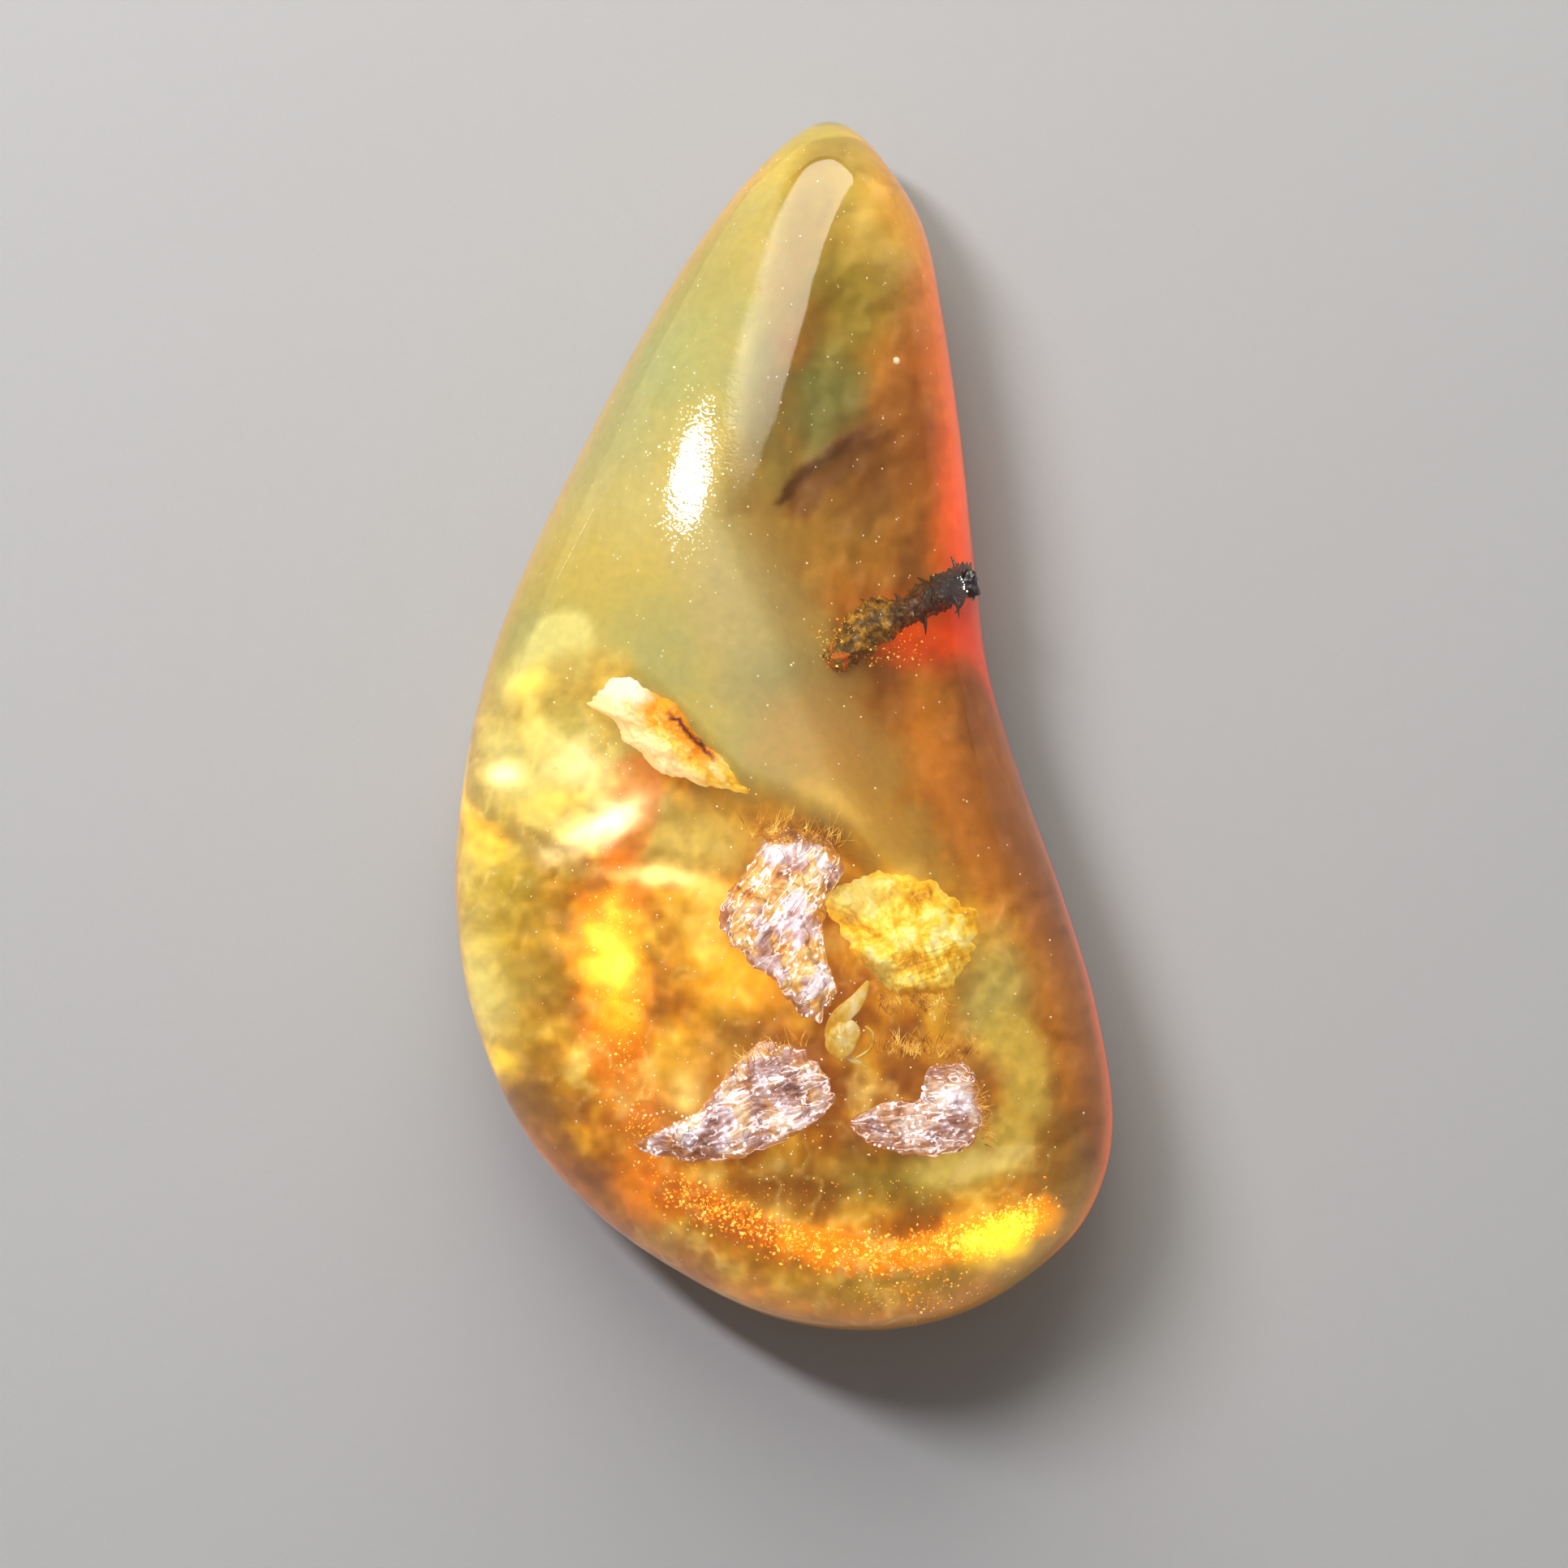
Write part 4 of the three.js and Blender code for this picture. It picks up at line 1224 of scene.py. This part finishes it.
def twigMaterial():
    paint = Paint("wet_dark_bark")
    along = paint.value("along")
    fine = paint.noise(2.4, 6.0, 0.7, 0.4)
    dark = paint.colourRamp(fine, [(0.35, 14, 8, 8), (0.55, 40, 26, 24), (0.7, 92, 70, 66)])
    brown = paint.colourRamp(fine, [(0.35, 42, 24, 10), (0.52, 96, 58, 20), (0.68, 160, 104, 34)])
    olive = paint.colourRamp(fine, [
        (0.34, 56, 46, 16),
        (0.48, 134, 100, 28),
        (0.58, 206, 156, 40),
        (0.70, 255, 220, 90),
    ])
    colour = paint.mix(paint.smooth(along, 0.26, 0.42), dark, brown)
    colour = paint.mix(paint.smooth(along, 0.48, 0.62), colour, olive)
    # painted orange fire: light caught at the twig's lower-left end
    fireLight = paint.smooth(along, 0.9, 0.97) * paint.smooth(fine, 0.5, 0.6)
    colour = paint.mix(fireLight, colour, rgb(255, 110, 10))
    return paint.finish({
        "Base Color": colour,
        "Roughness": 0.16,
        "Coat Weight": 1.0,
        "Normal": paint.bump(fine, 0.8, 0.12),
    })


points, faces, values = twigParts()
addMesh("dark_twig_detail", points, faces, twigMaterial(), ("dark_twig",), values=values)


def below(x, y, depth):
    # places that lie a depth under the polished top
    x, y = np.asarray(x, float), np.asarray(y, float)
    return np.stack([x, y, domeHeight(x, y) - depth], -1)


def ribbon(line, steps, around, flat):
    # a flat closed band under the skin; line holds x, y, depth and half width
    curve = openCurve(line, steps)
    points, faces, _ = tube(below(*curve[:, :3].T), curve[:, 3], around, flat)
    return points, faces, {}


# Glitter: flat grains in the fractures that throw the light back
glitter = {
    "seed": 31,
    "thick": 0.16,  # share of their width
    # how far they stray from a path, how many, size from and to, depth from and to, the path
    "trails": [
        (0.36, 1700, 0.03, 0.10, 1.5, 2.1, [
            (-3.9, -16.8), (-1.3, -17.9), (1.05, -18.8), (3.5, -19.15), (5.6, -18.8), (7.35, -18.35),
            (9.1, -17.5),
        ]),
        (0.3, 520, 0.05, 0.14, 1.3, 1.8, [(6.0, -18.8), (7.6, -18.5), (8.9, -17.8)]),
        (0.5, 420, 0.025, 0.08, 1.5, 2.2, [
            (-6.1, -6.4), (-6.0, -8.4), (-5.8, -10.6), (-5.3, -13.6), (-4.4, -16.2),
        ]),
        (0.4, 200, 0.02, 0.07, 1.2, 1.8, [(2.4, -20.4), (5.0, -20.6), (7.0, -20.1)]),
        (0.35, 120, 0.02, 0.05, 1.6, 2.1, [(-2.6, -16.9), (1.4, -16.9), (6.6, -17.0)]),
        (0.38, 240, 0.02, 0.07, 1.3, 2.0, [(1.2, 2.2), (2.0, 3.4), (3.0, 2.8), (4.6, 2.9)]),
    ],
}


def glitterMesh():
    draw = np.random.default_rng(glitter["seed"])
    corners = np.array([(1, 0, 0), (0, 1, 0), (-1, 0, 0), (0, -1, 0), (0, 0, 1), (0, 0, -1)], float)
    sides = [[0, 1, 4], [1, 2, 4], [2, 3, 4], [3, 0, 4], [1, 0, 5], [2, 1, 5], [3, 2, 5], [0, 3, 5]]
    parts = []
    for stray, count, small, large, shallow, deep, path in glitter["trails"]:
        line = openCurve([(*place, 0) for place in path], 200)
        at = line[draw.integers(0, len(line), count), :2] + draw.normal(0, stray, (count, 2))
        sizes = draw.uniform(small, large, count)
        centres = below(*at.T, draw.uniform(shallow, deep, count))
        for centre, size in zip(centres, sizes):
            turn = np.linalg.qr(draw.normal(size=(3, 3)))[0]
            if np.linalg.det(turn) < 0:
                turn[:, 0] = -turn[:, 0]
            flat = corners * size * np.array([1, draw.uniform(0.5, 1), glitter["thick"]])
            parts.append((flat @ turn.T + centre, sides, {}))
    return joined(parts)


def glitterMaterial():
    paint = Paint("fracture_glitter")
    shade = paint.noise(3.4, 2.0)
    # painted light: brighter in two places where the grains catch the most light
    glareSpots = paint.blob(7.6, -18.4, 1.5, 0.9, 0.7) + paint.blob(-6.0, -8.4, 0.9, 1.6, 0.7)
    colour = paint.colourRamp(shade, [(0.35, 232, 120, 4), (0.48, 255, 176, 20), (0.6, 255, 232, 120)])
    colour = paint.mix(glareSpots * 0.8, colour, rgb(255, 240, 80))
    return paint.finish({
        "Base Color": colour,
        "Metallic": 0.5,
        "Roughness": 0.3,
        # painted glow: the grains shine by emission
        "Emission Color": colour,
        "Emission Strength": 0.85,
    })


points, faces, _ = glitterMesh()
addMesh("glitter", points, faces, glitterMaterial(), smooth=False)


# Wet glints: small white glowing beads along the bark and on the twig's dark end, painted highlights
glints = {
    "seed": 17,
    "radius": (0.03, 0.11),
    # on which piece, how many
    "pieces": {"bark_knot_detail": 150, "left_bark_flake_detail": 260, "right_bark_flake_detail": 190},
    # lines of them on the twig's dark end: from, to, how many
    "twig": [((6.33, 5.5), (5.75, 4.75), 12), ((6.5, 5.5), (6.75, 4.95), 7)],
}


def glintMesh():
    draw = np.random.default_rng(glints["seed"])
    parts = []
    for name, count in glints["pieces"].items():
        piece = lumps[name]
        edge = closedCurve(piece["outline"], 80)
        centre = edge.mean(0)
        pick = edge[draw.integers(0, len(edge), count)]
        places = centre + (pick - centre) * np.sqrt(draw.uniform(0, 0.95, count))[:, None]
        flat = np.column_stack([places, np.zeros(count)])
        share = np.linalg.norm(places - centre, axis=1) / np.linalg.norm(pick - centre, axis=1)
        relief = piece["relief"](flat, piece)
        keep = relief > np.median(relief)
        body = lumpBody(share)
        sink = piece["depth"] + piece["thick"] / 2 * (1 - body) - relief * np.minimum(body * 2, 1)
        for place, depth in zip(places[keep], sink[keep]):
            radius = draw.uniform(*glints["radius"]) * draw.uniform(0.5, 1)
            parts.append(ball(below(*place, depth), radius))
    line = openCurve(twig["line"], 80)
    for start, end, count in glints["twig"]:
        for share in np.linspace(0, 1, count):
            x, y = np.array(start) * (1 - share) + np.array(end) * share + draw.normal(0, 0.03, 2)
            off = np.hypot(line[:, 0] - x, line[:, 1] - y)
            _, _, under, radius = line[off.argmin()]
            rounding = radius - math.sqrt(max(radius**2 - off.min() ** 2, 0))
            parts.append(ball(below(x, y, under + rounding - 0.04), draw.uniform(0.02, 0.055)))
    return joined(parts)


def glintMaterial():
    paint = Paint("wet_glints")
    tone = paint.smooth(paint.noise(1.1, 2.0), 0.42, 0.58)
    colour = paint.mix(tone, rgb(250, 232, 246), rgb(255, 252, 255))
    return paint.finish({
        "Base Color": colour,
        "Roughness": 0.15,
        "Coat Weight": 1.0,
        # painted highlight: the beads shine white by emission
        "Emission Color": colour,
        "Emission Strength": 0.9,
    })


points, faces, _ = glintMesh()
addMesh("wet_glints", points, faces, glintMaterial())


# Specks: tiny bubbles and dust close under the skin, with a painted glow, and a painted sparkle of white
# grains round the lamp's glint
specks = {
    "count": 460,
    "depth": (0.06, 0.5),
    "radius": (0.018, 0.055),
    "seed": 7,
    "glint": {"at": (-3.4, 9.2), "reach": (0.42, 1.35), "count": 520, "radius": (0.01, 0.028)},
    "bubble": (4.1, 13.4, 0.2, 0.16),  # x, y, depth, radius
    # a bead thread at the lower left and a fine scratch down the left flank
    "thread": {"start": (-6.7, -13.8), "run": (3.0, -0.55), "wave": 0.18, "waves": 9, "count": 14,
               "depth": 0.12, "radius": (0.03, 0.07)},
    "scratch": {"start": (-7.0, 7.9), "run": (-1.3, -2.5), "wave": 0.0, "waves": 0, "count": 40,
                "depth": 0.08, "radius": (0.012, 0.03)},
    # x, y, reach, how many more gather there
    "crowds": [(-3.4, 9.3, 1.8, 90), (-6.5, -1.0, 0.8, 40), (-1.0, -13.5, 3.0, 60), (5.5, -14.0, 2.0, 50),
               (2.5, -17.5, 4.0, 70), (-6.0, -8.0, 2.5, 50)],
}


def beadLine(line, draw):
    # beads in a row, straight or waving
    beads = []
    for step in np.linspace(0, 1, line["count"]):
        x, y = np.array(line["start"]) + np.array(line["run"]) * step
        y = y + line["wave"] * math.sin(line["waves"] * step)
        beads.append(ball(below(x, y, line["depth"]), draw.uniform(*line["radius"])))
    return beads


def speckMesh():
    draw = np.random.default_rng(specks["seed"])
    half = drop["halfLength"]
    y = draw.uniform(-0.95 * half, 0.95 * half, specks["count"])
    s = section(turnAt(y))
    x = s["left"] + s["width"] * draw.uniform(0.05, 0.95, specks["count"])
    places = [np.stack([x, y], 1)]
    for cx, cy, reach, count in specks["crowds"]:
        places.append(draw.normal((cx, cy), reach, (count, 2)))
    places = np.vstack(places)
    parts = []
    for x, y in places:
        s = section(turnAt(y))
        inside = s["left"] + 0.3 < x < s["left"] + s["width"] - 0.3 and abs(y) < 0.97 * half
        radius = draw.uniform(*specks["radius"]) * draw.uniform(0.6, 1.0)
        depth = draw.uniform(*specks["depth"])
        if inside:
            parts.append(ball(below(x, y, depth + radius), radius))
    parts += beadLine(specks["thread"], draw)
    # a painted sparkle of fine white grains round the lamp's glint, and a bubble near the right flank
    glint = specks["glint"]
    for x, y in draw.normal(glint["at"], glint["reach"], (glint["count"], 2)):
        parts.append(ball(below(x, y, 0.03), draw.uniform(*glint["radius"])))
    x, y, depth, radius = specks["bubble"]
    parts.append(ball(below(x, y, depth), radius))
    parts += beadLine(specks["scratch"], draw)
    return joined(parts)


def speckMaterial():
    paint = Paint("bubble_specks")
    tone = paint.noise(0.8, 2.0)
    colour = paint.mix(paint.smooth(tone, 0.4, 0.6), rgb(255, 240, 190), rgb(255, 252, 240))
    # painted highlight: the specks round the glint glow brighter, and all specks glow a little
    lit = paint.blob(-3.4, 9.2, 1.6, 4.2, 0.4)
    return paint.finish({
        "Base Color": colour,
        "Roughness": 0.3,
        "Emission Color": paint.scaled(colour, lit * 0.9 + 0.25),
        "Emission Strength": 1.0,
    })


points, faces, _ = speckMesh()
addMesh("specks", points, faces, speckMaterial())


# Hairs: the golden fringe over the right flake and plant hairs round the other pieces
hairs = {
    "seed": 11,
    "steps": 8,
    "stray": 0.12,  # how far their roots lie off the line
    "tufts": [
        # in millimetres, with lean and spread in degrees
        {"from": (3.6, -11.9), "to": (6.9, -12.1), "count": 130, "long": 0.8, "lean": 80, "spread": 45,
         "depth": 0.25, "radius": 0.03},
        {"from": (-1.2, -4.1), "to": (2.0, -4.4), "count": 110, "long": 1.1, "lean": 80, "spread": 80,
         "depth": 0.3, "radius": 0.022},
        {"from": (-1.6, -12.4), "to": (0.6, -11.7), "count": 60, "long": 0.7, "lean": 120, "spread": 40,
         "depth": 0.2, "radius": 0.025},
        {"from": (6.6, -12.6), "to": (7.4, -15.2), "count": 60, "long": 0.5, "lean": 0, "spread": 60,
         "depth": 0.3, "radius": 0.025},
        {"from": (3.4, -9.9), "to": (5.8, -10.2), "count": 70, "long": 0.6, "lean": -80, "spread": 60,
         "depth": 0.9, "radius": 0.03},
    ],
}


def hairMesh():
    draw = np.random.default_rng(hairs["seed"])
    u = np.linspace(0, 1, hairs["steps"])
    parts = []
    for tuft in hairs["tufts"]:
        for _ in range(tuft["count"]):
            share = draw.uniform()
            root = np.array(tuft["from"]) * (1 - share) + np.array(tuft["to"]) * share
            root = root + draw.normal(0, hairs["stray"], 2)
            lean = math.radians(tuft["lean"] + draw.uniform(-1, 1) * tuft["spread"])
            long = tuft["long"] * draw.uniform(0.4, 1.1)
            curl = draw.uniform(-0.5, 0.5) * long
            x = root[0] + long * u * math.cos(lean) - curl * u**2 * math.sin(lean)
            y = root[1] + long * u * math.sin(lean) + curl * u**2 * math.cos(lean)
            path = below(x, y, tuft["depth"] + draw.uniform(0, 0.3) * (1 - u))
            points, faces, _ = tube(path, tuft["radius"] * (1 - 0.75 * u), 5)
            parts.append((points, faces, {}))
    return joined(parts)


def hairMaterial():
    paint = Paint("golden_hairs")
    tone = paint.noise(1.6, 3.0)
    colour = paint.colourRamp(tone, [(0.35, 150, 92, 18), (0.5, 222, 160, 36), (0.65, 255, 226, 120)])
    return paint.finish({
        "Base Color": colour,
        "Roughness": 0.35,
        "Coat Weight": 0.5,
        # painted glow: the hairs shine by emission
        "Emission Color": colour,
        "Emission Strength": 0.25,
    })


points, faces, _ = hairMesh()
addMesh("plant_hairs", points, faces, hairMaterial())


# The curled scale between the bark pieces: a pale wisp, a small yellow plate and a thin arc
curl = {
    # x, y, depth, half width
    "wisp": [(3.0, -9.4, 1.0, 0.08), (2.6, -10.1, 1.1, 0.28), (2.0, -10.7, 1.2, 0.34),
             (1.7, -11.3, 1.3, 0.22), (2.0, -11.9, 1.4, 0.14), (3.0, -12.5, 1.5, 0.06)],
    "plate": [(1.5, -11.7), (1.75, -10.95), (2.4, -10.75), (2.75, -11.2), (2.5, -11.9), (2.0, -12.2)],
    "arc": [(2.95, -11.0, 0.9, 0.05), (3.2, -11.3, 0.9, 0.06), (3.1, -11.8, 1.0, 0.06),
            (2.6, -12.15, 1.1, 0.05)],
}


def curlMaterial():
    paint = Paint("pale_scale")
    tone = paint.noise(1.4, 4.0, 0.6, 0.4)
    colour = paint.colourRamp(tone, [(0.35, 226, 170, 40), (0.5, 246, 214, 90), (0.65, 255, 244, 190)])
    return paint.finish({
        "Base Color": colour,
        "Roughness": 0.25,
        "Coat Weight": 0.6,
        "Normal": paint.bump(tone, 0.5, 0.1),
    })


plate = {"outline": curl["plate"], "depth": 1.0, "thick": 0.35, "around": 60, "steps": 14, "seed": 5,
         "relief": lumpy, "bumps": 0.06, "bumpSize": 0.4}
platePoints, plateFaces, _ = lump(plate)
points, faces, _ = joined([
    (platePoints, plateFaces, {}),
    ribbon(curl["wisp"], 60, 16, 0.25),
    ribbon(curl["arc"], 30, 8, 1.0),
])
addMesh("curled_scale_detail", points, faces, curlMaterial(), ("curled_scale",))
